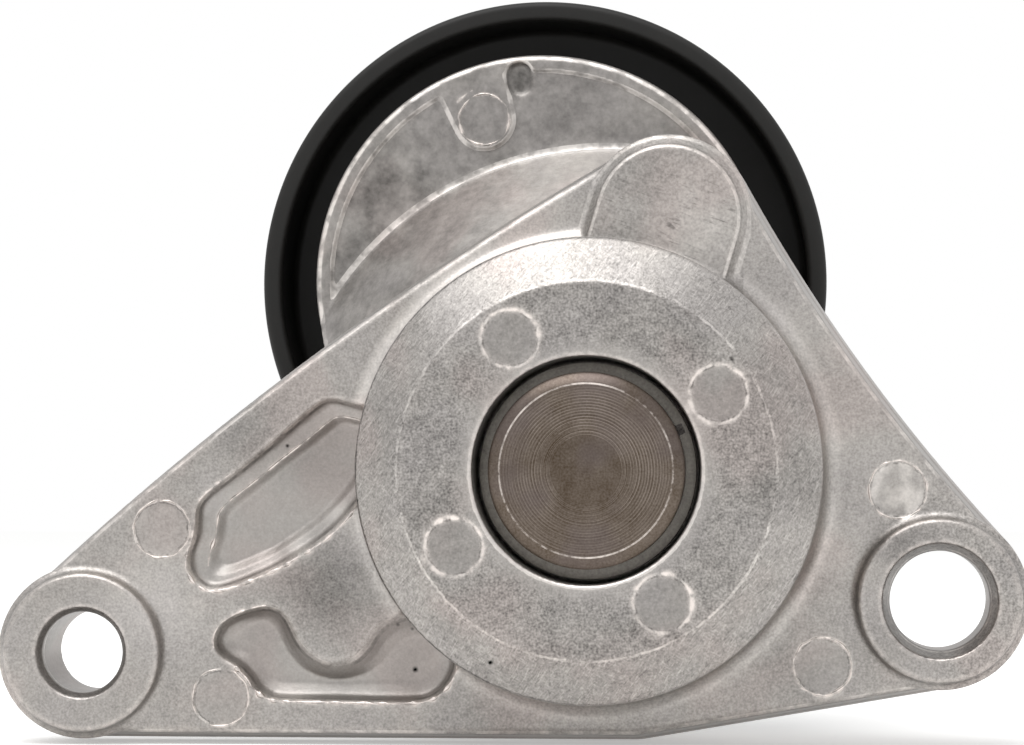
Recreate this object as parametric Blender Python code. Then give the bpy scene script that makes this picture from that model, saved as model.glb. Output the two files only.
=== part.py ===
"""Belt tensioner: die-cast bracket, sprung arm and idler pulley, built from its real pieces.

World frame: +X to the right and +Z up as seen from the engine side, +Y away from the engine.
The origin is on the arm's pivot axis, in the plane where the bolt bosses meet the engine.
"""
import math

import bmesh
import bpy
import numpy as np

mm = 0.001
GAP = 0.3 * mm                      # space left between pieces that touch

# Bracket: plate and its outline
PLATE_REAR = 2.0 * mm               # engine side of the plate
PLATE_FRONT = 12.0 * mm
PLATE_DRAFT = 1.1 * mm              # how far the plate spreads from rear to front
LEFT_BOLT = (-58.9 * mm, -20.8 * mm)
RIGHT_BOLT = (39.5 * mm, -14.7 * mm)
TONGUE = (8.4 * mm, 29.5 * mm)
KEEL = (4.5 * mm, -24.0 * mm)       # corner where the flat lower edge turns up
LEFT_EAR_R = 9.3 * mm
RIGHT_EAR_R = 9.5 * mm
TONGUE_R = 8.9 * mm
KEEL_R = 6.2 * mm
LEFT_EDGE_R = 370.0 * mm            # long convex edge, tongue to left ear
RIGHT_EDGE_R = 210.0 * mm           # long hollow edge, right ear to tongue

# Bracket: bolt bosses
BOSS_REAR = 0.0 * mm                # faces that meet the engine
LEFT_BOSS_R = 9.1 * mm
RIGHT_BOSS_R = 9.3 * mm
BOSS_DRAFT = 0.3 * mm
SPOT_FACE_HEIGHT = 1.0 * mm         # bolt head seats, proud of the plate's front
LEFT_HOLE_R = 4.65 * mm
LEFT_SINK_R = 5.3 * mm
LEFT_SINK_DEPTH = 1.3 * mm
RIGHT_HOLE_R = 5.65 * mm
RIGHT_SINK_R = 6.6 * mm
RIGHT_SINK_DEPTH = 3.0 * mm

# Bracket: tongue pad
PAD_REAR = 0.4 * mm
PAD_R = 8.7 * mm
PAD_INNER_SHIFT = 0.3               # where the pad's hidden end lies, along pivot to tongue

# Bracket: hub, which is also the spring's cup
HUB_R = 26.3 * mm
HUB_REAR = -11.5 * mm
HUB_BEVEL_R = 21.0 * mm             # flat face ends here
HUB_BEVEL_DEPTH = 3.5 * mm
HUB_FILLET = 2.4 * mm
CUP_R = 23.3 * mm
CUP_RIM = 0.5 * mm                  # machined rim, proud of the plate's front
CUP_FLOOR = 4.0 * mm                # wall behind the spring
POST_R = 15.6 * mm
COUNTERBORE_R = 12.7 * mm
COUNTERBORE_DEPTH = 5.6 * mm

# Bracket: pockets and marks
POCKET_DEPTH = 7.0 * mm
POCKET_LEDGE_DEPTH = 4.0 * mm       # step in the pocket walls
POCKET_WALL = 0.9 * mm              # how far the upper wall runs in above the ledge
POCKET_LEDGE = 0.9 * mm             # width of the ledge
POCKET_SLOPE = 2.3 * mm             # how far wall and ledge run in on the way to the floor
UPPER_POCKET = (
    (-29.6 * mm, 5.5 * mm, 3.1 * mm),
    (-43.0 * mm, -5.2 * mm, 2.9 * mm),
    (-44.3 * mm, -11.3 * mm, 2.6 * mm),
    (-29.9 * mm, -4.9 * mm, 2.6 * mm),
)
LOWER_POCKET = (
    (-19.6 * mm, -18.2 * mm, 2.4 * mm),
    (-39.8 * mm, -19.1 * mm, 3.7 * mm),
    (-36.8 * mm, -24.1 * mm, 2.5 * mm),
    (-18.7 * mm, -23.5 * mm, 2.9 * mm),
)
POCKET_EDGE_R = 90.0 * mm
UPPER_WAIST_R = 7.0 * mm            # hollow in the upper pocket's left end
LOWER_WAIST_R = 12.0 * mm
ISLAND = (-29.8 * mm, -17.0 * mm)   # lobe that reaches into the lower pocket
ISLAND_R = 4.4 * mm
EJECTOR_R = 3.3 * mm
EJECTOR_DEPTH = 0.35 * mm
PLATE_EJECTORS = (
    (-49.8 * mm, -6.6 * mm),
    (-42.9 * mm, -26.0 * mm),
    (34.8 * mm, -2.1 * mm),
    (26.2 * mm, -22.2 * mm),
)
HUB_EJECTOR_PITCH_R = 17.0 * mm
HUB_EJECTOR_TURN = math.radians(30)

# Arm
ARM_LENGTH = 25.0 * mm
ARM_LEAN = math.radians(108.7)      # pivot to pulley, counter-clockwise from +X
ARM_PIVOT_R = 28.0 * mm
ARM_DISC_R = 27.7 * mm
ARM_DISC_REAR = 31.0 * mm
ARM_FRONT = 34.5 * mm
ARM_FLANGE_BRIM = 2.1 * mm          # flange edge, past the friction ring
ARM_FLANGE_DEPTH = 2.4 * mm
ARM_SHOULDER_R = 39.5 * mm          # where the cone round the pivot meets the disc
ARM_LIP = 1.95 * mm
ARM_LIP_DEPTH = 0.5 * mm
ARM_HOLLOW_R = 23.5 * mm
ARM_HOLLOW_DEPTH = 14.5 * mm
ARM_BOSS_R = 13.0 * mm
PULLEY_BOSS_R = 13.2 * mm           # what the hollow leaves standing under the pulley's spigot
ARM_RIB = 3.0 * mm
ARM_RIBS = 5
ARM_PAD_R = 3.9 * mm
ARM_PAD_OUT = 20.9 * mm             # from the pulley axis to the pad's round end
ARM_PAD_TURN = math.radians(109.0)
ARM_NOTCH_R = 1.65 * mm             # hollow beside the pad
ARM_NOTCH_OUT = 25.2 * mm           # from the pulley axis to the hollow's outer end
ARM_NOTCH_LENGTH = 0.9 * mm
ARM_NOTCH_TURN = math.radians(95.6)

# Travel and its stop
ARM_TRAVEL = math.radians(28)
STOP_REST = math.radians(87)
STOP_HALF = math.radians(5)
STOP_R = 31.4 * mm
STOP_REACH = 3.4 * mm               # how far the lug dips into the plate

# Pivot
SHAFT_HEAD_R = 11.0 * mm
SHAFT_HEAD = 3.5 * mm
SHAFT_R = 9.0 * mm
SHAFT_PRESS_R = 8.5 * mm
SHAFT_CHAMFER = 1.3 * mm
BUSH_WALL = 1.0 * mm
WASHER_R = 12.2 * mm
WASHER = 1.5 * mm
WASHER_NOTCH = math.radians(18)
FRICTION_RING = 2.0 * mm
FRICTION_RING_WIDTH = 3.3 * mm
THRUST_WASHER_R = 15.2 * mm

# Spring
SPRING_R = 18.8 * mm
SPRING_WIRE_R = 1.7 * mm
SPRING_TURNS = 4
SPRING_START = math.radians(200)
SPRING_LUG = math.radians(13)
SPRING_LUG_WIDTH = 5.0 * mm

# Bearing, 17 x 40 x 12
BEARING_BORE_R = 8.5 * mm
BEARING_R = 20.0 * mm
BEARING_WIDTH = 12.0 * mm
BALL_R = 3.375 * mm
BALLS = 8
RACE_SHOULDER = 2.05 * mm           # each ring's edge, from the ball circle
SEAL = 0.8 * mm
SEAL_INSET = 0.3 * mm
CAGE_WALL = 1.0 * mm

# Pulley
PULLEY_R = 35.0 * mm
PULLEY_REAR = 37.0 * mm
PULLEY_WIDTH = 24.0 * mm
PULLEY_RIM = 2.4 * mm
PULLEY_HUB_WALL = 3.6 * mm
PULLEY_WEB = 3.0 * mm
PULLEY_HUB_WIDTH = 20.0 * mm
PULLEY_RIBS = 12
PULLEY_RIB = 1.8 * mm
RIB_STEP = 2.5 * mm                 # ribs stop this far inside the rim's edge

# Pulley fixing
SPIGOT_SEAT_R = 11.6 * mm
BOLT_R = 4.9 * mm
BOLT_DEPTH = 26.0 * mm
BOLT_HEAD_R = 8.0 * mm
BOLT_HEAD = 4.0 * mm
BOLT_FLANGE_R = 9.6 * mm
BOLT_FLANGE = 1.2 * mm
BOLT_SOCKET_R = 3.4 * mm
BOLT_SOCKET_DEPTH = 2.6 * mm
CLAMP_WASHER_R = 11.5 * mm
CLAMP_WASHER = 1.6 * mm
SHIELD_R = 19.2 * mm
SHIELD = 0.9 * mm
CAP_R = 22.0 * mm
CAP_TOP = 1.2 * mm
CAP_SKIRT = 1.2 * mm
CAP_SKIRT_LENGTH = 3.6 * mm

# Facets
FINE = 44
MEDIUM = 28
COARSE = 14

PULLEY_AXIS = (ARM_LENGTH * math.cos(ARM_LEAN), ARM_LENGTH * math.sin(ARM_LEAN))
RIM_FRONT = PLATE_FRONT + CUP_RIM
FRICTION_OUTER_R = CUP_R + GAP + FRICTION_RING_WIDTH
ARM_FLANGE_R = FRICTION_OUTER_R + ARM_FLANGE_BRIM
ARM_REAR = RIM_FRONT + FRICTION_RING + 2 * GAP
CUP_BASE = HUB_REAR + CUP_FLOOR
COUNTERBORE_FLOOR = HUB_REAR + COUNTERBORE_DEPTH
BORE_R = SHAFT_R + BUSH_WALL + 2 * GAP
BALL_PITCH_R = (BEARING_BORE_R + BEARING_R) / 2
BEARING_MIDDLE = PULLEY_REAR + PULLEY_WIDTH / 2
BEARING_REAR = BEARING_MIDDLE - BEARING_WIDTH / 2
BEARING_FRONT = BEARING_MIDDLE + BEARING_WIDTH / 2
BOLT_SEAT = BEARING_FRONT + CLAMP_WASHER + 2 * GAP
OVERCUT = 1.0 * mm                  # how far a cutter runs past the face it opens


def clear_scene():
    """Start from an empty file."""
    for item in list(bpy.data.objects):
        bpy.data.objects.remove(item, do_unlink=True)


def finish(name, colour, metallic, roughness):
    """Principled material of one piece, colour as linear RGB."""
    material = bpy.data.materials.new(name)
    material.use_nodes = True
    shader = material.node_tree.nodes["Principled BSDF"]
    shader.inputs["Base Color"].default_value = (*colour, 1.0)
    shader.inputs["Metallic"].default_value = metallic
    shader.inputs["Roughness"].default_value = roughness
    material.diffuse_color = (*colour, 1.0)
    return material


def new_object(name, mesh_data, centre=(0.0, 0.0), material=None):
    """Turn a bmesh into an object whose origin is on the axis through centre."""
    bmesh.ops.remove_doubles(mesh_data, verts=mesh_data.verts, dist=1e-6)
    bmesh.ops.recalc_face_normals(mesh_data, faces=mesh_data.faces)
    mesh = bpy.data.meshes.new(name)
    mesh_data.to_mesh(mesh)
    mesh_data.free()
    mesh.shade_smooth()
    mesh.set_sharp_from_angle(angle=math.radians(32))
    item = bpy.data.objects.new(name, mesh)
    item.location = (centre[0], 0.0, centre[1])
    bpy.context.scene.collection.objects.link(item)
    if material:
        mesh.materials.append(material)
    return item


def turned(name, profile, centre=(0.0, 0.0), steps=MEDIUM, material=None):
    """Revolve a closed (radius, y) profile about the Y axis through centre."""
    mesh_data = bmesh.new()
    corners = [mesh_data.verts.new((radius, depth, 0.0)) for radius, depth in profile]
    edges = []
    for i, (radius, _) in enumerate(profile):
        if radius > 0 or profile[i - 1][0] > 0:
            edges.append(mesh_data.edges.new((corners[i - 1], corners[i])))
    bmesh.ops.spin(
        mesh_data,
        geom=corners + edges,
        cent=(0.0, 0.0, 0.0),
        axis=(0.0, 1.0, 0.0),
        angle=2 * math.pi,
        steps=steps,
        use_merge=True,
        use_duplicate=False,
    )
    return new_object(name, mesh_data, centre, material)


def lofted(name, sections, centre=(0.0, 0.0), material=None):
    """Skin a stack of (outline, y) sections that have the same number of points."""
    mesh_data = bmesh.new()
    rings = []
    for outline, depth in sections:
        rings.append([mesh_data.verts.new((x, depth, z)) for x, z in outline])
    for near, far in zip(rings, rings[1:]):
        for i in range(len(near)):
            mesh_data.faces.new((near[i - 1], near[i], far[i], far[i - 1]))
    mesh_data.faces.new(rings[0])
    mesh_data.faces.new(list(reversed(rings[-1])))
    return new_object(name, mesh_data, centre, material)


def combine(target, other, operation):
    """Join or cut two solids with a Boolean that stays on the target."""
    modifier = target.modifiers.new(other.name, "BOOLEAN")
    modifier.operation = operation
    modifier.solver = "EXACT"
    modifier.object = other
    other.hide_render = True
    other.display_type = "WIRE"


def add(target, other):
    combine(target, other, "UNION")


def cut(target, other):
    combine(target, other, "DIFFERENCE")


def polar(radius, angle, centre=(0.0, 0.0)):
    return (centre[0] + radius * math.cos(angle), centre[1] + radius * math.sin(angle))


def arc(centre, radius, start, end, pieces):
    """Points on a circle from one angle to another, both ends included."""
    return [polar(radius, start + (end - start) * i / pieces, centre) for i in range(pieces + 1)]


def circle(radius, steps=COARSE, centre=(0.0, 0.0)):
    return [polar(radius, 2 * math.pi * i / steps, centre) for i in range(steps)]


def edge_centre(first, second, radius):
    """Centre of the long arc that touches two circles; a negative radius makes it hollow."""
    start = np.array(first[:2])
    span = np.array(second[:2]) - start
    distance = np.linalg.norm(span)
    reach_first = radius - first[2]
    reach_second = radius - second[2]
    along = (distance ** 2 + reach_first ** 2 - reach_second ** 2) / (2 * distance)
    aside = math.sqrt(reach_first ** 2 - along ** 2) * math.copysign(1, radius)
    direction = span / distance
    inward = np.array((-direction[1], direction[0]))
    return start + direction * along + inward * aside


def belt(circles, radii, spread=0.0, corner_pieces=6, edge_pieces=6):
    """Outline round a ring of circles, counter-clockwise, with long arcs between them.

    radii[i] is the arc between circle i and the next one. spread moves the outline outward,
    and keeps its points in step, so that two outlines of one belt can be skinned together.
    """
    total = len(circles)
    centres = [edge_centre(circles[i], circles[(i + 1) % total], radii[i]) for i in range(total)]
    points = []
    for i, (x, z, radius) in enumerate(circles):
        before = touch_angle((x, z), centres[i - 1], radii[i - 1])
        after = touch_angle((x, z), centres[i], radii[i])
        if after < before:
            after += 2 * math.pi
        points += arc((x, z), radius + spread, before, after, corner_pieces)
        following = circles[(i + 1) % len(circles)]
        end = touch_angle(following[:2], centres[i], radii[i])
        points += edge_points(centres[i], radii[i], after, end, spread, edge_pieces)
    return points


def touch_angle(centre, edge, radius):
    """Direction from a corner's centre to the point where its long arc starts."""
    side = math.copysign(1, radius)
    return math.atan2(side * (centre[1] - edge[1]), side * (centre[0] - edge[0]))


def edge_points(centre, radius, start, end, spread, pieces):
    """Inner points of a long arc, whose ends belong to the corners."""
    turn = (end - start + math.pi) % (2 * math.pi) - math.pi
    side = math.copysign(1, radius)
    reach = abs(radius) + side * spread
    first = start if side > 0 else start + math.pi
    return [polar(reach, first + turn * i / pieces, centre) for i in range(1, pieces)]


def sector(inner, outer, start, end, pieces=6):
    """Outline of a piece of a ring."""
    return arc((0.0, 0.0), outer, start, end, pieces) + arc((0.0, 0.0), inner, end, start, pieces)


def plate_circles():
    return (
        (*RIGHT_BOLT, RIGHT_EAR_R),
        (*TONGUE, TONGUE_R),
        (*LEFT_BOLT, LEFT_EAR_R),
        (*KEEL, KEEL_R),
    )


def bracket_plate(material):
    """Flat body of the casting, which spreads towards its front."""
    straight = 100 * LEFT_EDGE_R
    edges = (-RIGHT_EDGE_R, LEFT_EDGE_R, straight, straight)
    rear = belt(plate_circles(), edges, corner_pieces=8, edge_pieces=8)
    front = belt(plate_circles(), edges, PLATE_DRAFT, corner_pieces=8, edge_pieces=8)
    return lofted("mounting_bracket", [(rear, PLATE_REAR), (front, PLATE_FRONT)], material=material)


def hub_body():
    """Hub with its bevel, base fillet, counterbored bore, spring cup and post."""
    profile = [
        (BORE_R, RIM_FRONT),
        (BORE_R, COUNTERBORE_FLOOR),
        (COUNTERBORE_R, COUNTERBORE_FLOOR),
        (COUNTERBORE_R, HUB_REAR),
        (HUB_BEVEL_R, HUB_REAR),
        (HUB_R, HUB_REAR + HUB_BEVEL_DEPTH),
    ]
    fillet_centre = (HUB_R + HUB_FILLET, PLATE_REAR - HUB_FILLET)
    profile += arc(fillet_centre, HUB_FILLET, math.pi, math.pi / 2, 4)
    profile += [
        (HUB_R + HUB_FILLET, PLATE_REAR + OVERCUT),
        (HUB_R, PLATE_REAR + OVERCUT),
        (HUB_R, RIM_FRONT),
        (CUP_R, RIM_FRONT),
        (CUP_R, CUP_BASE),
        (POST_R, CUP_BASE),
        (POST_R, RIM_FRONT),
    ]
    return turned("hub_body", profile, steps=FINE)


def boss_body(name, centre, radius):
    """Bolt boss: rear face on the engine, front face under the bolt's head."""
    front = PLATE_FRONT + SPOT_FACE_HEIGHT
    sections = [
        (circle(radius, MEDIUM), BOSS_REAR),
        (circle(radius + BOSS_DRAFT, MEDIUM), PLATE_REAR + OVERCUT),
        (circle(radius + BOSS_DRAFT, MEDIUM), PLATE_FRONT - OVERCUT),
        (circle(radius, MEDIUM), front),
    ]
    return lofted(name, sections, centre)


def bolt_hole(name, centre, hole_radius, sink_radius, sink_depth):
    """Through hole with a tapered mouth on the engine side."""
    slope = (sink_radius - hole_radius) / sink_depth
    profile = [
        (0.0, BOSS_REAR - OVERCUT),
        (sink_radius + slope * OVERCUT, BOSS_REAR - OVERCUT),
        (hole_radius, BOSS_REAR + sink_depth),
        (hole_radius, PLATE_FRONT + SPOT_FACE_HEIGHT + OVERCUT),
        (0.0, PLATE_FRONT + SPOT_FACE_HEIGHT + OVERCUT),
    ]
    return turned(name, profile, centre)


def tongue_pad():
    """Raised pad that runs from the tongue's round end in under the hub."""
    inner = (TONGUE[0] * PAD_INNER_SHIFT, TONGUE[1] * PAD_INNER_SHIFT)
    ends = ((*TONGUE, PAD_R), (*inner, PAD_R))
    straight = 100 * LEFT_EDGE_R
    top = belt(ends, (straight, straight), 0.0, 14, 2)
    base = belt(ends, (straight, straight), PLATE_DRAFT / 4, 14, 2)
    return lofted("tongue_pad", [(top, PAD_REAR), (base, PLATE_REAR + OVERCUT)])


def hub_opening():
    """Round hole in the plate that the hub fills."""
    outline = circle((CUP_R + HUB_R) / 2, FINE)
    return lofted("hub_opening", [(outline, PAD_REAR - OVERCUT), (outline, PLATE_FRONT + OVERCUT)])


def pocket(name, circles, waist_radius):
    """Cutter of a lightening pocket: sloped wall, ledge, second wall and floor."""
    radii = (POCKET_EDGE_R, -waist_radius, POCKET_EDGE_R, POCKET_EDGE_R)
    slope = POCKET_WALL / POCKET_LEDGE_DEPTH
    steps = (
        (slope * OVERCUT, -OVERCUT),
        (-POCKET_WALL, POCKET_LEDGE_DEPTH),
        (-POCKET_WALL - POCKET_LEDGE, POCKET_LEDGE_DEPTH + slope * POCKET_LEDGE),
        (-POCKET_SLOPE, POCKET_DEPTH),
    )
    return lofted(name, [(belt(circles, radii, spread), PLATE_REAR + depth) for spread, depth in steps])


def pocket_island():
    """Lobe left standing in the lower pocket."""
    slope = POCKET_SLOPE / POCKET_DEPTH
    base = PLATE_REAR + POCKET_DEPTH + OVERCUT
    sections = [
        (circle(ISLAND_R, COARSE), PLATE_REAR),
        (circle(ISLAND_R + slope * (base - PLATE_REAR), COARSE), base),
    ]
    return lofted("pocket_island", sections, ISLAND)


def ejector_mark(name, centre, face):
    """Shallow round witness of an ejector pin."""
    ring = circle(EJECTOR_R, COARSE)
    return lofted(name, [(ring, face - OVERCUT), (ring, face + EJECTOR_DEPTH)], centre)


def stop_window():
    """Curved slot in the plate's front that the arm's lug swings in."""
    slack = GAP / STOP_R
    start = STOP_REST - ARM_TRAVEL - STOP_HALF - slack
    end = STOP_REST + STOP_HALF + slack
    outline = sector(FRICTION_OUTER_R + 3 * GAP, STOP_R + GAP, start, end, 10)
    floor = PLATE_FRONT - STOP_REACH - GAP
    return lofted("stop_window", [(outline, floor), (outline, PLATE_FRONT + OVERCUT)])


def spring_lug(name, start, end, rear, front):
    """Block that the end of the spring's wire pushes on."""
    inner = SPRING_R - SPRING_LUG_WIDTH / 2
    outline = sector(inner, inner + SPRING_LUG_WIDTH, start, end, 4)
    return lofted(name, [(outline, rear), (outline, front)])


def mounting_bracket(material):
    """The die casting: plate, hub, bosses, pad, cup, pockets and marks."""
    bracket = bracket_plate(material)
    add(bracket, tongue_pad())
    cut(bracket, hub_opening())
    cut(bracket, pocket("upper_pocket", UPPER_POCKET, UPPER_WAIST_R))
    cut(bracket, pocket("lower_pocket", LOWER_POCKET, LOWER_WAIST_R))
    add(bracket, pocket_island())
    cut(bracket, stop_window())
    add(bracket, hub_body())
    wire_start = SPRING_START - GAP / SPRING_R
    lug_top = CUP_BASE + 2 * SPRING_WIRE_R
    add(bracket, spring_lug("cup_lug", wire_start - SPRING_LUG, wire_start, CUP_BASE - OVERCUT, lug_top))
    add(bracket, boss_body("left_boss", LEFT_BOLT, LEFT_BOSS_R))
    add(bracket, boss_body("right_boss", RIGHT_BOLT, RIGHT_BOSS_R))
    cut(bracket, bolt_hole("left_hole", LEFT_BOLT, LEFT_HOLE_R, LEFT_SINK_R, LEFT_SINK_DEPTH))
    cut(bracket, bolt_hole("right_hole", RIGHT_BOLT, RIGHT_HOLE_R, RIGHT_SINK_R, RIGHT_SINK_DEPTH))
    for i, centre in enumerate(PLATE_EJECTORS):
        cut(bracket, ejector_mark("plate_mark_%d" % (i + 1), centre, PLATE_REAR))
    for i in range(4):
        centre = polar(HUB_EJECTOR_PITCH_R, HUB_EJECTOR_TURN + i * math.pi / 2)
        cut(bracket, ejector_mark("hub_mark_%d" % (i + 1), centre, HUB_REAR))
    return bracket


def ring(name, inner, outer, rear, front, material, centre=(0.0, 0.0), steps=MEDIUM):
    """Plain turned ring."""
    profile = [(inner, rear), (outer, rear), (outer, front), (inner, front)]
    return turned(name, profile, centre, steps, material)


def pivot_pieces(steel, bronze, nylon, dark_steel):
    """Bush, washers and friction ring, which stay in the bracket."""
    bush_outer = BORE_R - GAP
    ring("pivot_bush", bush_outer - BUSH_WALL, bush_outer, COUNTERBORE_FLOOR + GAP, RIM_FRONT, bronze)
    washer_front = COUNTERBORE_FLOOR - GAP
    washer = ring("rear_washer", SHAFT_R + GAP, WASHER_R, washer_front - WASHER, washer_front, dark_steel)
    notch = sector(WASHER_R - BUSH_WALL, WASHER_R + BUSH_WALL, WASHER_NOTCH - 0.06, WASHER_NOTCH + 0.06, 2)
    cut(washer, lofted("washer_notch", [(notch, washer_front - 2 * WASHER), (notch, washer_front + WASHER)]))
    rear = RIM_FRONT + GAP
    ring("thrust_washer", SHAFT_R + GAP, THRUST_WASHER_R, rear, rear + FRICTION_RING, steel)
    ring("friction_ring", CUP_R + GAP, FRICTION_OUTER_R, rear, rear + FRICTION_RING, nylon)


def spring_height():
    """Rise of the wire's centre line, from the cup's floor to the arm."""
    return ARM_REAR - CUP_BASE - 2 * SPRING_WIRE_R - 5 * GAP


def torsion_spring(material):
    """Round wire wound round the post, from the cup's lug to the arm's."""
    steps = 18 * SPRING_TURNS
    start_height = CUP_BASE + SPRING_WIRE_R + GAP
    curve = bpy.data.curves.new("torsion_spring", "CURVE")
    curve.dimensions = "3D"
    curve.bevel_depth = SPRING_WIRE_R
    curve.bevel_resolution = 2
    curve.use_fill_caps = True
    spline = curve.splines.new("POLY")
    spline.points.add(steps)
    for i, point in enumerate(spline.points):
        share = i / steps
        x, z = polar(SPRING_R, SPRING_START + share * SPRING_TURNS * 2 * math.pi)
        point.co = (x, start_height + share * spring_height(), z, 1.0)
    curve.materials.append(material)
    item = bpy.data.objects.new("torsion_spring", curve)
    bpy.context.scene.collection.objects.link(item)


def arm_circles(inset=0.0):
    return ((0.0, 0.0, ARM_PIVOT_R - inset), (*PULLEY_AXIS, ARM_DISC_R - inset))


def arm_outline(inset=0.0):
    """Outline round the pivot and the pulley axis."""
    straight = 100 * ARM_LENGTH
    return belt(arm_circles(inset), (straight, straight), 0.0, 26, 3)


def arm_cone(material):
    """Round shoulder that carries the arm from the bracket out to the disc."""
    overrun = ARM_FRONT - OVERCUT
    profile = [
        (0.0, ARM_REAR),
        (ARM_FLANGE_R, ARM_REAR),
        (ARM_FLANGE_R, ARM_REAR + ARM_FLANGE_DEPTH),
        (ARM_SHOULDER_R, ARM_DISC_REAR),
        (ARM_SHOULDER_R, overrun),
        (0.0, overrun),
    ]
    return turned("tensioner_arm", profile, steps=FINE, material=material)


def arm_web(material):
    """The cone, trimmed by the arm's outline, with the flange left whole."""
    arm = arm_cone(material)
    outline = lofted("arm_trim", [(arm_outline(), ARM_REAR + ARM_FLANGE_DEPTH), (arm_outline(), ARM_FRONT)])
    flange = circle(ARM_FLANGE_R + OVERCUT, FINE)
    base = ARM_REAR + ARM_FLANGE_DEPTH + OVERCUT
    add(outline, lofted("arm_flange_room", [(flange, ARM_REAR - OVERCUT), (flange, base)]))
    combine(arm, outline, "INTERSECT")
    return arm


def arm_disc():
    """Disc behind the pulley, with a raised lip round its rim."""
    disc = lofted("arm_disc", [(arm_outline(), ARM_DISC_REAR), (arm_outline(), ARM_FRONT)])
    inner = circle(ARM_DISC_R - ARM_LIP, FINE)
    depth = ARM_DISC_REAR + ARM_LIP_DEPTH
    cut(disc, lofted("disc_recess", [(inner, ARM_DISC_REAR - OVERCUT), (inner, depth)], PULLEY_AXIS))
    return disc


def arm_face_pad():
    """Raised pad on the disc's rear face, from the rim inward."""
    inner = polar(ARM_PAD_OUT, ARM_PAD_TURN, PULLEY_AXIS)
    outer = polar(ARM_DISC_R - ARM_PAD_R, ARM_PAD_TURN, PULLEY_AXIS)
    straight = 100 * ARM_LENGTH
    outline = belt(((*inner, ARM_PAD_R), (*outer, ARM_PAD_R)), (straight, straight), 0.0, 12, 2)
    return lofted("arm_face_pad", [(outline, ARM_DISC_REAR), (outline, ARM_DISC_REAR + OVERCUT)])


def arm_notch():
    """Round-ended hollow in the disc's rear face beside the pad, twice as deep as the lip."""
    outer = polar(ARM_NOTCH_OUT, ARM_NOTCH_TURN, PULLEY_AXIS)
    inner = polar(ARM_NOTCH_OUT - ARM_NOTCH_LENGTH, ARM_NOTCH_TURN, PULLEY_AXIS)
    straight = 100 * ARM_LENGTH
    outline = belt(((*outer, ARM_NOTCH_R), (*inner, ARM_NOTCH_R)), (straight, straight), 0.0, 6, 2)
    floor = ARM_DISC_REAR + 2 * ARM_LIP_DEPTH
    return lofted("arm_notch", [(outline, ARM_DISC_REAR - OVERCUT), (outline, floor)])


def arm_hollow():
    """Room cast into the arm's front round the pivot boss, clear of the pulley's spigot."""
    floor = ARM_FRONT - ARM_HOLLOW_DEPTH
    front = ARM_FRONT + OVERCUT
    sections = [(circle(ARM_HOLLOW_R - ARM_RIB / 2, FINE), floor), (circle(ARM_HOLLOW_R, FINE), front)]
    hollow = lofted("arm_hollow", sections)
    boss = circle(PULLEY_BOSS_R, MEDIUM)
    cut(hollow, lofted("pulley_boss", [(boss, floor - OVERCUT), (boss, front + OVERCUT)], PULLEY_AXIS))
    return hollow


def arm_rib(index):
    """One web between the pivot boss and the arm's wall."""
    angle = ARM_LEAN + 2 * math.pi * (index + 0.5) / ARM_RIBS
    start = ARM_BOSS_R - OVERCUT
    end = ARM_HOLLOW_R + OVERCUT
    half = ARM_RIB / 2
    corners = [(start, -half), (end, -half), (end, half), (start, half)]
    cosine, sine = math.cos(angle), math.sin(angle)
    turn = [(x * cosine - z * sine, x * sine + z * cosine) for x, z in corners]
    floor = ARM_FRONT - ARM_HOLLOW_DEPTH - OVERCUT
    return lofted("arm_rib_%d" % (index + 1), [(turn, floor), (turn, ARM_FRONT - ARM_RIB / 2)])


def arm_spigot():
    """Turned seat and stub that carry the bearing's inner ring."""
    stub = BEARING_BORE_R - GAP
    seat = BEARING_REAR - GAP - SHIELD - GAP
    profile = [
        (0.0, ARM_DISC_REAR + OVERCUT),
        (ARM_BOSS_R, ARM_DISC_REAR + OVERCUT),
        (ARM_BOSS_R, ARM_FRONT),
        (SPIGOT_SEAT_R, ARM_FRONT + OVERCUT),
        (SPIGOT_SEAT_R, seat),
        (stub, seat),
        (stub, BEARING_FRONT - GAP),
        (0.0, BEARING_FRONT - GAP),
    ]
    return turned("arm_spigot", profile, PULLEY_AXIS)


def tensioner_arm(material):
    """Die-cast arm: flange, cone, disc, ribs, bosses, stop lug and spring lug."""
    arm = arm_web(material)
    add(arm, arm_disc())
    add(arm, arm_face_pad())
    cut(arm, arm_notch())
    cut(arm, arm_hollow())
    boss = circle(ARM_BOSS_R, MEDIUM)
    add(arm, lofted("pivot_boss", [(boss, ARM_FRONT - ARM_HOLLOW_DEPTH - OVERCUT), (boss, ARM_FRONT)]))
    add(arm, arm_spigot())
    for i in range(ARM_RIBS):
        add(arm, arm_rib(i))
    lug = sector(FRICTION_OUTER_R + 5 * GAP, STOP_R, STOP_REST - STOP_HALF, STOP_REST + STOP_HALF, 3)
    add(arm, lofted("stop_lug", [(lug, PLATE_FRONT - STOP_REACH), (lug, ARM_REAR + ARM_FLANGE_DEPTH - GAP)]))
    wire_end = SPRING_START + SPRING_TURNS * 2 * math.pi + GAP / SPRING_R
    lug_rear = ARM_REAR - 5 * GAP - 2 * SPRING_WIRE_R
    add(arm, spring_lug("arm_spring_lug", wire_end, wire_end + SPRING_LUG, lug_rear, ARM_REAR + OVERCUT))
    bore = circle(SHAFT_PRESS_R + GAP, MEDIUM)
    cut(arm, lofted("shaft_bore", [(bore, ARM_REAR - OVERCUT), (bore, ARM_FRONT + OVERCUT)]))
    tapped = circle(BOLT_R + GAP, COARSE)
    tip = BEARING_FRONT - BOLT_DEPTH - 2 * GAP
    cut(arm, lofted("tapped_hole", [(tapped, tip), (tapped, BEARING_FRONT + OVERCUT)], PULLEY_AXIS))
    return arm


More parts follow.
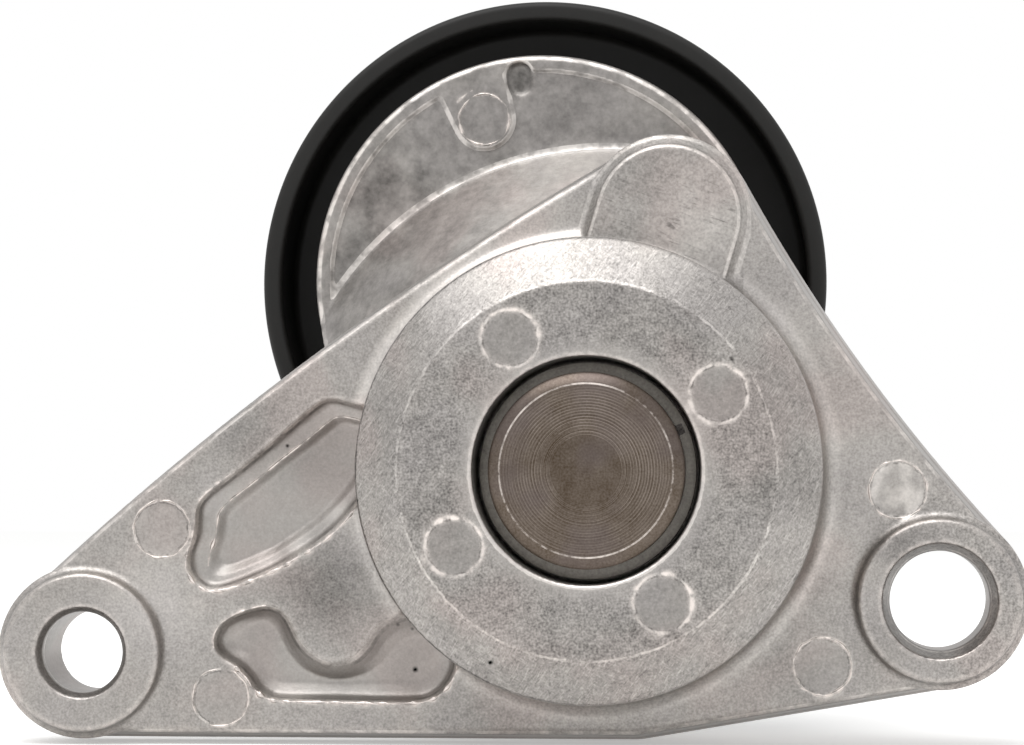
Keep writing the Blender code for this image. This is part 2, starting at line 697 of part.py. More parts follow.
def pivot_shaft(material):
    """Turned pin: head at the engine side, journal in the bush, front end pressed in the arm."""
    head_front = HUB_REAR + SHAFT_HEAD
    profile = [
        (0.0, HUB_REAR),
        (SHAFT_HEAD_R - SHAFT_CHAMFER, HUB_REAR),
        (SHAFT_HEAD_R, HUB_REAR + SHAFT_CHAMFER / 2),
        (SHAFT_HEAD_R, head_front),
        (SHAFT_R, head_front),
        (SHAFT_R, ARM_REAR - GAP),
        (SHAFT_PRESS_R, ARM_REAR - GAP),
        (SHAFT_PRESS_R, ARM_FRONT - SHAFT_CHAMFER / 2),
        (SHAFT_PRESS_R - SHAFT_CHAMFER / 2, ARM_FRONT),
        (0.0, ARM_FRONT),
    ]
    return turned("pivot_shaft", profile, material=material)


def race_profile(edge, far, side):
    """Section of a bearing ring whose groove clears the balls by one gap."""
    groove = BALL_R + GAP
    reach = math.acos((BALL_PITCH_R - edge) / groove * side)
    facing = math.pi if side > 0 else 0.0
    middle = (BALL_PITCH_R, BEARING_MIDDLE)
    curve = arc(middle, groove, facing + reach * side, facing - reach * side, 4)
    rear_first = curve if curve[0][1] < curve[-1][1] else list(reversed(curve))
    return [(far, BEARING_FRONT), (far, BEARING_REAR), (edge, BEARING_REAR), *rear_first, (edge, BEARING_FRONT)]


def bearing(steel, seal_rubber, cage_steel, ball_steel):
    """Deep-groove ball bearing: two rings, a cage, its balls and two seals."""
    inner_edge = BALL_PITCH_R - RACE_SHOULDER
    outer_edge = BALL_PITCH_R + RACE_SHOULDER
    inner = race_profile(inner_edge, BEARING_BORE_R, 1)
    outer = race_profile(outer_edge, BEARING_R, -1)
    pieces = {
        "inner": turned("bearing_inner_ring", inner, PULLEY_AXIS, material=steel),
        "outer": turned("bearing_outer_ring", outer, PULLEY_AXIS, material=steel),
    }
    seal_rear = BEARING_REAR + SEAL_INSET
    seal_front = BEARING_FRONT - SEAL_INSET
    low = inner_edge + GAP
    high = outer_edge - GAP
    rear = ring("bearing_seal_rear", low, high, seal_rear, seal_rear + SEAL, seal_rubber, PULLEY_AXIS)
    front = ring("bearing_seal_front", low, high, seal_front - SEAL, seal_front, seal_rubber, PULLEY_AXIS)
    pieces["seals"] = [rear, front]
    pieces["cage"] = bearing_cage(cage_steel, seal_rear + SEAL + GAP, seal_front - SEAL - GAP)
    pieces["balls"] = [bearing_ball(i, ball_steel) for i in range(BALLS)]
    return pieces


def ball_angle(index):
    return 2 * math.pi * index / BALLS


def bearing_cage(material, rear, front):
    """Ring with a round window for each ball."""
    half = CAGE_WALL / 2
    cage = ring("bearing_cage", BALL_PITCH_R - half, BALL_PITCH_R + half, rear, front, material, PULLEY_AXIS)
    for i in range(BALLS):
        mesh_data = bmesh.new()
        bmesh.ops.create_cone(
            mesh_data,
            cap_ends=True,
            segments=12,
            radius1=BALL_R + GAP,
            radius2=BALL_R + GAP,
            depth=6 * CAGE_WALL,
        )
        window = new_object("cage_window_%d" % (i + 1), mesh_data)
        x, z = polar(BALL_PITCH_R, ball_angle(i), PULLEY_AXIS)
        window.location = (x, BEARING_MIDDLE, z)
        window.rotation_euler = (0.0, math.pi / 2 - ball_angle(i), 0.0)
        cut(cage, window)
    return cage


def bearing_ball(index, material):
    mesh_data = bmesh.new()
    bmesh.ops.create_uvsphere(mesh_data, u_segments=10, v_segments=7, radius=BALL_R)
    ball = new_object("ball_%d" % (index + 1), mesh_data, material=material)
    x, z = polar(BALL_PITCH_R, ball_angle(index), PULLEY_AXIS)
    ball.location = (x, BEARING_MIDDLE, z)
    return ball


def pulley(material):
    """Moulded wheel: flat belt rim, web, ribs and the hub moulded round the bearing."""
    front = PULLEY_REAR + PULLEY_WIDTH
    rim_inner = PULLEY_R - PULLEY_RIM
    hub_inner = BEARING_R + GAP
    hub_outer = hub_inner + PULLEY_HUB_WALL
    web_rear = BEARING_MIDDLE - PULLEY_WEB / 2
    web_front = BEARING_MIDDLE + PULLEY_WEB / 2
    hub_rear = BEARING_MIDDLE - PULLEY_HUB_WIDTH / 2
    hub_front = BEARING_MIDDLE + PULLEY_HUB_WIDTH / 2
    edge = PULLEY_RIM / 4
    profile = [
        (hub_inner, hub_rear),
        (hub_outer, hub_rear),
        (hub_outer, web_rear),
        (rim_inner, web_rear),
        (rim_inner, PULLEY_REAR + edge),
        (rim_inner + edge, PULLEY_REAR),
        (PULLEY_R - edge, PULLEY_REAR),
        (PULLEY_R, PULLEY_REAR + edge),
        (PULLEY_R, front - edge),
        (PULLEY_R - edge, front),
        (rim_inner + edge, front),
        (rim_inner, front - edge),
        (rim_inner, web_front),
        (hub_outer, web_front),
        (hub_outer, hub_front),
        (hub_inner, hub_front),
    ]
    wheel = turned("pulley", profile, PULLEY_AXIS, FINE, material)
    for i in range(PULLEY_RIBS):
        add(wheel, pulley_rib(i, hub_outer, rim_inner, web_front, hub_front - RIB_STEP))
    return wheel


def pulley_rib(index, hub_outer, rim_inner, web_front, top):
    """One radial rib on the front of the web."""
    mesh_data = bmesh.new()
    bmesh.ops.create_cube(mesh_data, size=1.0)
    length = rim_inner - hub_outer + PULLEY_RIM
    height = top - web_front + PULLEY_WEB / 2
    bmesh.ops.scale(mesh_data, vec=(length, height, PULLEY_RIB), verts=mesh_data.verts)
    middle = (hub_outer + rim_inner) / 2
    bmesh.ops.translate(mesh_data, vec=(middle, top - height / 2, 0.0), verts=mesh_data.verts)
    rib = new_object("pulley_rib_%d" % (index + 1), mesh_data, PULLEY_AXIS)
    rib.rotation_euler = (0.0, -2 * math.pi * (index + 0.5) / PULLEY_RIBS, 0.0)
    return rib


def pulley_fixings(steel, shield_steel):
    """Flanged bolt, clamp washer and rear dust shield."""
    shield_front = BEARING_REAR - GAP
    shield = turned(
        "rear_dust_shield",
        [
            (BEARING_BORE_R, shield_front),
            (BEARING_BORE_R, shield_front - SHIELD),
            (SHIELD_R - 2 * SHIELD, shield_front - SHIELD),
            (SHIELD_R, shield_front - 2 * SHIELD),
            (SHIELD_R, shield_front - SHIELD),
            (SHIELD_R - 2 * SHIELD, shield_front),
        ],
        PULLEY_AXIS,
        material=shield_steel,
    )
    washer_rear = BEARING_FRONT + GAP
    washer_front = BOLT_SEAT - GAP
    washer = ring("clamp_washer", BOLT_R + GAP, CLAMP_WASHER_R, washer_rear, washer_front, steel, PULLEY_AXIS)
    bolt = pulley_bolt(steel)
    return shield, washer, bolt


def pulley_bolt(material):
    """Flanged hexagon bolt with a socket in its head."""
    seat = BOLT_SEAT
    tip = BEARING_FRONT - BOLT_DEPTH
    point = BOLT_R / 4
    profile = [
        (0.0, tip),
        (BOLT_R - point, tip),
        (BOLT_R, tip + point),
        (BOLT_R, seat),
        (BOLT_FLANGE_R, seat),
        (BOLT_FLANGE_R, seat + BOLT_FLANGE / 2),
        (BOLT_HEAD_R - point, seat + BOLT_FLANGE),
        (0.0, seat + BOLT_FLANGE),
    ]
    bolt = turned("pulley_bolt", profile, PULLEY_AXIS, material=material)
    hexagon = circle(BOLT_HEAD_R, 6)
    crown = circle(BOLT_HEAD_R - point / 2, 6)
    top = seat + BOLT_HEAD
    sections = [(hexagon, seat + BOLT_FLANGE / 2), (hexagon, top - point / 2), (crown, top)]
    add(bolt, lofted("bolt_head", sections, PULLEY_AXIS))
    socket = circle(BOLT_SOCKET_R, 6)
    ends = [(socket, top - BOLT_SOCKET_DEPTH), (socket, top + OVERCUT)]
    cut(bolt, lofted("bolt_socket", ends, PULLEY_AXIS))
    return bolt


def dust_cap(material):
    """Moulded cap pressed into the pulley's hub over the bolt."""
    hub_front = BEARING_MIDDLE + PULLEY_HUB_WIDTH / 2
    under = hub_front + GAP
    top = under + CAP_TOP
    dome = max(BOLT_SEAT + BOLT_HEAD + 2 * GAP - under, CAP_TOP / 2)
    skirt_outer = BEARING_R
    skirt_inner = skirt_outer - CAP_SKIRT
    skirt_rear = under - min(CAP_SKIRT_LENGTH, hub_front - BEARING_FRONT - GAP)
    profile = [
        (0.0, under + dome),
        (skirt_inner - dome, under + dome),
        (skirt_inner, under),
        (skirt_inner, skirt_rear),
        (skirt_outer, skirt_rear),
        (skirt_outer, under),
        (CAP_R, under),
        (CAP_R, under + CAP_TOP / 2),
        (CAP_R - CAP_TOP / 2, top),
        (skirt_inner, top),
        (skirt_inner - dome, top + dome),
        (0.0, top + dome),
    ]
    return turned("dust_cap", profile, PULLEY_AXIS, material=material)


def axis_empty(name, centre, parent=None):
    """Empty on a joint's axis that carries the pieces of one moving body."""
    empty = bpy.data.objects.new(name, None)
    empty.location = (centre[0], 0.0, centre[1])
    empty.empty_display_size = ARM_LENGTH
    bpy.context.scene.collection.objects.link(empty)
    if parent:
        attach([empty], parent)
    return empty


def attach(pieces, parent):
    """Parent pieces to an empty and leave them where they are."""
    bpy.context.view_layer.update()
    for piece in pieces:
        piece.parent = parent
        piece.matrix_parent_inverse = parent.matrix_world.inverted()


def build():
    clear_scene()
    cast = finish("cast_aluminium", (0.42, 0.40, 0.37), 1.0, 0.42)
    arm_cast = finish("arm_cast_aluminium", (0.33, 0.33, 0.32), 1.0, 0.45)
    turned_steel = finish("turned_steel", (0.20, 0.17, 0.14), 1.0, 0.35)
    dark_steel = finish("dark_steel", (0.11, 0.11, 0.10), 1.0, 0.5)
    bearing_steel = finish("bearing_steel", (0.55, 0.56, 0.57), 1.0, 0.2)
    spring_steel = finish("spring_steel", (0.06, 0.06, 0.065), 1.0, 0.4)
    bronze = finish("bush_bronze", (0.35, 0.24, 0.12), 1.0, 0.4)
    zinc = finish("zinc_plate", (0.50, 0.50, 0.48), 1.0, 0.3)
    friction_nylon = finish("friction_nylon", (0.30, 0.26, 0.17), 0.0, 0.5)
    black_nylon = finish("black_nylon", (0.012, 0.011, 0.011), 0.0, 0.45)
    seal_rubber = finish("seal_rubber", (0.02, 0.02, 0.02), 0.0, 0.7)

    mounting_bracket(cast)
    pivot_pieces(zinc, bronze, friction_nylon, dark_steel)
    torsion_spring(spring_steel)

    arm = tensioner_arm(arm_cast)
    shaft = pivot_shaft(turned_steel)
    bearing_pieces = bearing(bearing_steel, seal_rubber, zinc, bearing_steel)
    fixings = pulley_fixings(zinc, zinc)
    wheel = pulley(black_nylon)
    cap = dust_cap(black_nylon)

    arm_axis = axis_empty("arm_axis", (0.0, 0.0))
    pulley_axis = axis_empty("pulley_axis", PULLEY_AXIS, arm_axis)
    cage_axis = axis_empty("cage_axis", PULLEY_AXIS, arm_axis)
    attach([arm, shaft, bearing_pieces["inner"], *fixings], arm_axis)
    attach([wheel, bearing_pieces["outer"], *bearing_pieces["seals"], cap], pulley_axis)
    attach([bearing_pieces["cage"], *bearing_pieces["balls"]], cage_axis)


build()
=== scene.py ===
"""Looks of the belt tensioner: die-cast bracket, sprung arm and moulded idler pulley.

The script follows the object as it is put together, one section to each piece, round the
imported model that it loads. Lengths are in metres, +X right and +Z up as the engine sees it.
"""
import math

import bmesh
import bpy
from mathutils import Matrix, Vector, noise


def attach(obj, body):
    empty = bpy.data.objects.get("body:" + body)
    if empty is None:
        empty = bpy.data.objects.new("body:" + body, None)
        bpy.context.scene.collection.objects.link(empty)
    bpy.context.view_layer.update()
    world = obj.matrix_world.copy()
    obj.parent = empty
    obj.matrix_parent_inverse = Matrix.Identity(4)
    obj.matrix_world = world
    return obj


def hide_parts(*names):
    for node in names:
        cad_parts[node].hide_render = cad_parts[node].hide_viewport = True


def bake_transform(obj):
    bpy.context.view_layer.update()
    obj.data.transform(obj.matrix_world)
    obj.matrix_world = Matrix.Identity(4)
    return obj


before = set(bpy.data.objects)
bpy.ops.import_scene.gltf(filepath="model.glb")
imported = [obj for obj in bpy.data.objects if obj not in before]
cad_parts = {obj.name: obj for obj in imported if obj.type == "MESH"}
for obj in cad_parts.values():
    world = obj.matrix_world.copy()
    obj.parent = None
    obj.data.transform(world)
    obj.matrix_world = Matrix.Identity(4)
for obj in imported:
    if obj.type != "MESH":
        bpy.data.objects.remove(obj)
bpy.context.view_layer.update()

mm = 0.001
scene = bpy.context.scene


# Studio
# The part stands on its flat lower edge on a white table in a light tent. A long lens looks
# along +Y from slightly right of the pivot, so the pulley shows above and left of the bracket.
CAMERA_PLACE = Vector((24.4, -440.0, -3.3)) * mm
CAMERA_AIM = Vector((-9.1, 0.0, 11.3)) * mm
LENS_MM = 135.8
TABLE_Z = -31.4 * mm
TABLE_WHITE = "#f4f4f3"
TABLE_GLOW = 0.35
ROOM_LIGHT = 0.7
SOFTBOX_PLACE = Vector((-0.16, -0.30, 0.82))
SOFTBOX_SIZE = 0.7
SOFTBOX_POWER = 5.3


def linear(hex_colour):
    """sRGB hex as a linear colour with alpha."""
    values = []
    for i in (1, 3, 5):
        part = int(hex_colour[i:i + 2], 16) / 255
        values.append(part / 12.92 if part <= 0.04045 else ((part + 0.055) / 1.055) ** 2.4)
    return (*values, 1.0)


def fed(made, sockets):
    """Give a node's inputs their values or links; a node stands for its first output."""
    for name, value in sockets.items():
        if isinstance(value, bpy.types.Node):
            value = next(output for output in value.outputs if output.enabled)
        if isinstance(value, bpy.types.NodeSocket):
            made.id_data.links.new(value, made.inputs[name])
        else:
            made.inputs[name].default_value = value
    return made


def node(tree, kind, sockets, **settings):
    """Add a shader node with its settings and links."""
    made = tree.nodes.new("ShaderNode" + kind)
    for name, value in settings.items():
        setattr(made, name, value)
    return fed(made, sockets)


camera = bpy.data.objects.new("camera", bpy.data.cameras.new("camera"))
camera.data.sensor_width = 36.0
camera.data.lens = LENS_MM
camera.data.clip_start = 0.01
camera.location = CAMERA_PLACE
camera.rotation_euler = (CAMERA_AIM - CAMERA_PLACE).to_track_quat("-Z", "Y").to_euler()
scene.collection.objects.link(camera)
scene.camera = camera
scene.view_settings.view_transform = "Standard"

table_mesh = bmesh.new()
bmesh.ops.create_grid(table_mesh, x_segments=1, y_segments=1, size=3.0)
bmesh.ops.translate(table_mesh, vec=(0.0, 0.0, TABLE_Z), verts=table_mesh.verts)
table = bpy.data.objects.new("table", bpy.data.meshes.new("table"))
table_mesh.to_mesh(table.data)
table_mesh.free()
scene.collection.objects.link(table)


def seen_directly(tree):
    """1 for what the camera sees, also in gloss or through glass, and 0 for what lights the part."""
    ray = node(tree, "LightPath", {}).outputs
    seen = ray["Is Camera Ray"]
    for other in ("Is Glossy Ray", "Is Transmission Ray"):
        seen = node(tree, "Math", {0: seen, 1: ray[other]}, operation="MAXIMUM")
    return seen


# White paper takes the part's shadow, and a glow that only the eye sees keeps it bright.
white_table = bpy.data.materials.new("white_table")
white_table.use_nodes = True
tree = white_table.node_tree
tree.nodes.clear()
lift = node(tree, "Math", {0: seen_directly(tree), 1: TABLE_GLOW}, operation="MULTIPLY")
paper = node(tree, "BsdfDiffuse", {"Color": linear(TABLE_WHITE)})
glow = node(tree, "Emission", {"Strength": lift})
both = node(tree, "AddShader", {0: paper, 1: glow})
node(tree, "OutputMaterial", {"Surface": both})
table.data.materials.append(white_table)

tent = bpy.data.worlds.new("light_tent")
tent.use_nodes = True
tree = tent.node_tree
tree.nodes.clear()
white = linear("#ffffff")
room = node(tree, "Background", {"Color": white, "Strength": ROOM_LIGHT})
backdrop = node(tree, "Background", {"Color": white, "Strength": 1.0})
shown = node(tree, "MixShader", {0: seen_directly(tree), 1: room, 2: backdrop})
node(tree, "OutputWorld", {"Surface": shown})
scene.world = tent

lamp = bpy.data.lights.new("softbox_top", "AREA")
lamp.size = SOFTBOX_SIZE
lamp.energy = SOFTBOX_POWER
softbox = bpy.data.objects.new("softbox_top", lamp)
softbox.location = SOFTBOX_PLACE
softbox.rotation_euler = (-SOFTBOX_PLACE).to_track_quat("-Z", "Y").to_euler()
scene.collection.objects.link(softbox)


# Mounting bracket
# One aluminium die casting: a tapered plate with two bolt bosses and a tongue pad, and the hub
# that houses the spring. The shapes are cut and joined, then remeshed fine so that every edge
# gets the small cast radius, and pressed with the marks of the ejector pins.
PLATE_REAR = 2.0 * mm
PLATE_FRONT = 12.0 * mm
LEFT_BOLT = (-58.9 * mm, -20.8 * mm)
RIGHT_BOLT = (39.5 * mm, -14.7 * mm)
TONGUE = (8.75 * mm, 29.15 * mm)
KEEL = (4.5 * mm, -24.0 * mm)
PLATE_CORNERS = (
    (*RIGHT_BOLT, 9.5 * mm),
    (*TONGUE, 8.9 * mm),
    (*LEFT_BOLT, 9.3 * mm),
    (*KEEL, 6.2 * mm),
)
STRAIGHT = 40.0
PLATE_EDGES = (-210.0 * mm, 370.0 * mm, STRAIGHT, STRAIGHT)
CAST_VOXEL = 0.25 * mm


def polar(centre, radius, angle):
    return (centre[0] + radius * math.cos(angle), centre[1] + radius * math.sin(angle))


def edge_centre(first, second, radius):
    """Centre of the long arc that touches two corner circles; a negative radius is hollow."""
    start = Vector(first[:2])
    span = Vector(second[:2]) - start
    distance = span.length
    reach = radius - first[2]
    along = (distance ** 2 + reach ** 2 - (radius - second[2]) ** 2) / (2 * distance)
    aside = math.copysign(math.sqrt(reach ** 2 - along ** 2), radius)
    direction = span / distance
    return start + direction * along + Vector((-direction.y, direction.x)) * aside


def touch_angle(centre, edge, radius):
    side = math.copysign(1, radius)
    return math.atan2(side * (centre[1] - edge[1]), side * (centre[0] - edge[0]))


def belt(corners, edges, spread=0.0, pieces=24):
    """Outline round corner circles joined by long arcs, moved outward by spread."""
    total = len(corners)
    centres = [edge_centre(corners[i], corners[(i + 1) % total], edges[i]) for i in range(total)]
    points = []
    for i, (x, z, radius) in enumerate(corners):
        before = touch_angle((x, z), centres[i - 1], edges[i - 1])
        after = touch_angle((x, z), centres[i], edges[i])
        if after < before:
            after += 2 * math.pi
        turns = [before + (after - before) * k / pieces for k in range(pieces + 1)]
        points += [polar((x, z), radius + spread, turn) for turn in turns]
        end = touch_angle(corners[(i + 1) % total][:2], centres[i], edges[i])
        turn = (end - after + math.pi) % (2 * math.pi) - math.pi
        side = math.copysign(1, edges[i])
        first = after if side > 0 else after + math.pi
        reach = abs(edges[i]) + side * spread
        points += [polar(centres[i], reach, first + turn * k / pieces) for k in range(1, pieces)]
    return points


def flowing(points, pieces=6):
    """Smooth closed outline through points given in millimetres."""
    count = len(points)
    line = []
    for i in range(count):
        a, b, c, d = (Vector(points[(i + k) % count]) * mm for k in (-1, 0, 1, 2))
        for k in range(pieces):
            t = k / pieces
            bend = (c - a) * t + (2 * a - 5 * b + 4 * c - d) * t ** 2 + (3 * b - a - 3 * c + d) * t ** 3
            line.append(b + bend / 2)
    return line


def skinned(levels):
    """Closed skin through outlines at rising depths."""
    mesh = bmesh.new()
    rings = []
    for outline, depth in levels:
        corners = [mesh.verts.new((point[0], depth, point[1])) for point in outline]
        rings.append([mesh.edges.new((corners[i - 1], corners[i])) for i in range(len(corners))])
    for near, far in zip(rings, rings[1:]):
        bmesh.ops.bridge_loops(mesh, edges=near + far)
    bmesh.ops.contextual_create(mesh, geom=rings[0])
    bmesh.ops.contextual_create(mesh, geom=rings[-1])
    return mesh


def drafted(corners, edges, section):
    """Closed skin whose outline spreads as section says, in (depth, spread) pairs of millimetres."""
    return skinned([(belt(corners, edges, spread * mm), depth * mm) for depth, spread in section])


def turned(profile, centre=(0.0, 0.0), steps=192):
    """Revolve a closed (radius, depth) profile, in millimetres, about the Y axis through centre."""
    mesh = bmesh.new()
    corners = [mesh.verts.new((radius * mm, depth * mm, 0.0)) for radius, depth in profile]
    edges = []
    for i, (radius, _) in enumerate(profile):
        if radius > 0 or profile[i - 1][0] > 0:
            edges.append(mesh.edges.new((corners[i - 1], corners[i])))
    bmesh.ops.spin(mesh, geom=corners + edges, axis=(0, 1, 0), angle=math.tau, steps=steps, use_merge=True)
    bmesh.ops.translate(mesh, vec=(centre[0], 0.0, centre[1]), verts=mesh.verts)
    return mesh


def solid(name, mesh):
    """Object from a finished bmesh, with its doubles merged and its faces turned outward."""
    bmesh.ops.remove_doubles(mesh, verts=mesh.verts, dist=1e-7)
    bmesh.ops.recalc_face_normals(mesh, faces=mesh.faces)
    data = bpy.data.meshes.new(name)
    mesh.to_mesh(data)
    mesh.free()
    item = bpy.data.objects.new(name, data)
    scene.collection.objects.link(item)
    return item


def joined(base, tool, operation):
    """Add or cut a tool, which is used up."""
    modifier = base.modifiers.new("join", "BOOLEAN")
    modifier.operation = operation
    modifier.solver = "EXACT"
    modifier.object = tool
    freeze(base)
    bpy.data.objects.remove(tool)


def freeze(item):
    """Apply the modifiers of an object to its mesh."""
    bpy.context.view_layer.update()
    shaped = item.evaluated_get(bpy.context.evaluated_depsgraph_get())
    data = bpy.data.meshes.new_from_object(shaped)
    item.modifiers.clear()
    item.data = data


def arc_profile(centre, radius, start, end, pieces):
    """Points of an arc of a turned profile, angles in degrees."""
    turns = [start + (end - start) * i / pieces for i in range(pieces + 1)]
    return [polar(centre, radius, math.radians(turn)) for turn in turns]


PLATE_SECTION = (
    (2.0, -0.75),
    (2.12, -0.4),
    (2.4, -0.12),
    (2.8, 0.02),
    (6.6, 0.45),
    (6.9, 0.75),
    (7.2, 0.5),
    (11.6, 1.0),
    (12.0, 0.7),
)
PAD_SECTION = ((0.4, -0.9), (0.46, -0.62), (0.7, -0.45), (1.5, 0.15), (1.9, 0.55), (2.0, 0.85), (3.0, 0.9))
bracket = solid("bracket_casting", drafted(PLATE_CORNERS, PLATE_EDGES, PLATE_SECTION))

pad_ends = ((*TONGUE, 8.7 * mm), (TONGUE[0] * 0.3, TONGUE[1] * 0.3, 8.7 * mm))
joined(bracket, solid("pad", drafted(pad_ends, (STRAIGHT, STRAIGHT), PAD_SECTION)), "UNION")

UPPER_RIM = (
    (-26.0, 7.3), (-28.2, 8.2), (-30.2, 8.5), (-31.9, 7.9), (-34.7, 5.6), (-38.2, 2.6), (-41.8, -0.2),
    (-44.7, -2.5), (-45.8, -4.0), (-46.0, -5.7), (-46.3, -7.6), (-46.9, -9.6), (-46.9, -11.4),
    (-45.8, -13.0), (-44.0, -13.8), (-41.5, -13.3), (-37.4, -11.7), (-34.7, -10.3), (-30.9, -7.9),
    (-28.3, -5.4), (-25.5, -1.5), (-24.5, 3.0),
)
UPPER_FOOT = (
    (-26.0, 6.3), (-28.3, 7.3), (-30.0, 7.7), (-31.4, 7.2), (-34.2, 4.9), (-37.7, 1.9), (-41.3, -1.0),
    (-44.0, -3.0), (-45.0, -4.3), (-45.1, -5.8), (-45.2, -7.4), (-45.9, -9.3), (-45.9, -11.1),
    (-45.1, -12.3), (-43.9, -12.9), (-41.7, -12.5), (-37.8, -10.9), (-35.3, -9.5), (-31.6, -7.1),
    (-29.0, -4.6), (-26.5, -1.2), (-25.5, 2.8),
)
UPPER_LEDGE = (
    (-26.2, 5.4), (-28.0, 6.2), (-29.6, 6.3), (-30.9, 5.5), (-33.1, 3.7), (-36.2, 1.3), (-39.8, -1.6),
    (-42.3, -3.5), (-43.3, -4.8), (-43.6, -6.2), (-43.8, -7.6), (-44.4, -9.4), (-44.6, -10.9),
    (-44.2, -11.7), (-43.3, -12.0), (-41.5, -11.6), (-37.9, -10.1), (-35.6, -8.8), (-32.0, -6.4),
    (-29.6, -4.1), (-27.1, -1.0), (-26.0, 2.7),
)
UPPER_FLOOR = (
    (-26.6, 4.8), (-28.2, 5.5), (-29.4, 5.5), (-30.5, 4.7), (-32.7, 2.9), (-35.8, 0.5), (-39.2, -2.3),
    (-41.6, -4.2), (-42.4, -5.3), (-42.6, -6.5), (-42.7, -7.7), (-43.2, -9.1), (-43.3, -10.0),
    (-42.9, -10.6), (-42.1, -10.7), (-40.7, -10.2), (-37.4, -8.8), (-35.3, -7.5), (-32.2, -5.2),
    (-30.0, -3.1), (-27.8, -0.4), (-26.6, 2.5),
)
LOWER_RIM = (
    (-37.7, -15.4), (-40.5, -16.1), (-42.7, -17.3), (-43.7, -18.8), (-43.7, -20.3), (-42.7, -21.6),
    (-41.2, -22.5), (-39.9, -23.8), (-39.0, -25.1), (-37.7, -26.0), (-36.0, -26.4), (-30.5, -26.5),
    (-24.0, -26.6), (-20.0, -26.5), (-18.0, -25.9), (-16.5, -24.5), (-15.5, -22.3), (-15.5, -19.0),
    (-18.0, -16.8), (-20.6, -16.2), (-22.4, -16.3), (-24.0, -17.0), (-25.3, -18.2), (-26.4, -20.0),
    (-27.9, -21.3), (-29.9, -21.8), (-31.9, -21.1), (-33.4, -19.7), (-34.3, -18.2), (-35.1, -16.7),
    (-36.2, -15.7),
)
LOWER_FOOT = (
    (-38.2, -16.5), (-40.5, -17.0), (-42.0, -17.9), (-42.8, -19.1), (-42.8, -20.1), (-42.0, -21.0),
    (-40.6, -21.8), (-39.2, -23.2), (-38.3, -24.5), (-37.3, -25.2), (-36.0, -25.6), (-30.5, -25.7),
    (-24.0, -25.8), (-20.2, -25.7), (-18.5, -25.1), (-17.3, -23.9), (-16.6, -22.1), (-16.8, -19.6),
    (-18.5, -18.2), (-20.4, -17.9), (-21.8, -18.0), (-23.0, -18.6), (-24.0, -19.5), (-25.2, -21.3),
    (-27.0, -22.8), (-29.9, -23.4), (-32.7, -22.5), (-34.5, -20.8), (-35.5, -19.0), (-36.1, -17.7),
    (-37.0, -16.8),
)
LOWER_FLOOR = (
    (-38.4, -17.2), (-40.0, -17.7), (-41.1, -18.5), (-41.6, -19.2), (-41.5, -19.9), (-40.8, -20.5),
    (-39.3, -21.3), (-38.0, -22.6), (-37.3, -23.6), (-36.7, -24.0), (-35.6, -24.2), (-30.5, -24.3),
    (-24.0, -24.3), (-20.6, -24.2), (-19.4, -23.8), (-18.6, -23.0), (-18.1, -21.8), (-18.2, -20.2),
    (-19.2, -19.2), (-20.4, -18.9), (-21.3, -19.0), (-22.2, -19.6), (-23.2, -20.6), (-24.4, -22.1),
    (-26.6, -23.4), (-29.9, -23.9), (-33.2, -23.0), (-35.1, -21.3), (-36.1, -19.5), (-36.7, -18.4),
    (-37.4, -17.6),
)
POCKETS = (
    ((UPPER_RIM, 0.5), (UPPER_RIM, 2.0), (UPPER_FOOT, 3.2), (UPPER_LEDGE, 3.45), (UPPER_FLOOR, 4.3)),
    ((LOWER_RIM, 0.5), (LOWER_RIM, 2.0), (LOWER_FOOT, 3.5), (LOWER_FLOOR, 4.1)),
)

joined(bracket, solid("hub_opening", turned([(0, -5), (24.8, -5), (24.8, 20), (0, 20)])), "DIFFERENCE")
HUB_PROFILE = [(10.6, 12.5), (10.6, -5.9), (12.7, -5.9), (12.7, -11.2), (12.95, -11.5), (21.0, -11.5)]
HUB_PROFILE += [(26.0, -8.2), (26.3, -7.8)] + arc_profile((28.9, -0.4), 2.6, 180, 90, 10)
HUB_PROFILE += [(28.9, 3.0), (26.3, 3.0), (26.3, 12.5), (23.3, 12.5), (23.3, -7.5), (15.6, -7.5)]
HUB_PROFILE += [(15.6, 12.5)]
joined(bracket, solid("hub", turned(HUB_PROFILE)), "UNION")
hub_wall = [(0, -20), (26.35, -20), (26.35, 20), (0, 20)]
for levels in POCKETS:
    pocket = solid("pocket", skinned([(flowing(outline), depth * mm) for outline, depth in levels]))
    joined(pocket, solid("hub_wall", turned(hub_wall)), "DIFFERENCE")
    joined(bracket, pocket, "DIFFERENCE")

# Each boss: its centre and radius, its hole's radius, and the wide end and the depth of its taper.
BOSSES = (
    (LEFT_BOLT, 9.1, 4.65, 5.3, 1.3),
    (RIGHT_BOLT, 9.3, 5.65, 6.6, 3.0),
)
BOSS_SECTION = (
    (-0.3, 0.0), (0, 0.3), (0.1, 1.1), (0.35, 1.7), (0.9, 2.0), (0.9, 3.0), (0.3, 3.0), (0.3, 11.0),
    (0, 12.7), (-0.3, 13.0),
)
for centre, radius, hole, sink, depth in BOSSES:
    boss = [(0, 0.0)] + [(radius + step, place) for step, place in BOSS_SECTION] + [(0, 13.0)]
    joined(bracket, solid("boss", turned(boss, centre)), "UNION")
    mouth = sink + (sink - hole) / depth
    drill = [(0, -1.0), (mouth, -1.0), (hole, depth), (hole, 14.0), (0, 14.0)]
    joined(bracket, solid("drill", turned(drill, centre)), "DIFFERENCE")


def sector(inner, outer, start, end, pieces=16):
    """Outline of a piece of a ring round the pivot, angles in degrees."""
    turns = [math.radians(start + (end - start) * i / pieces) for i in range(pieces + 1)]
    rim = [polar((0, 0), outer * mm, turn) for turn in turns]
    return rim + [polar((0, 0), inner * mm, turn) for turn in reversed(turns)]


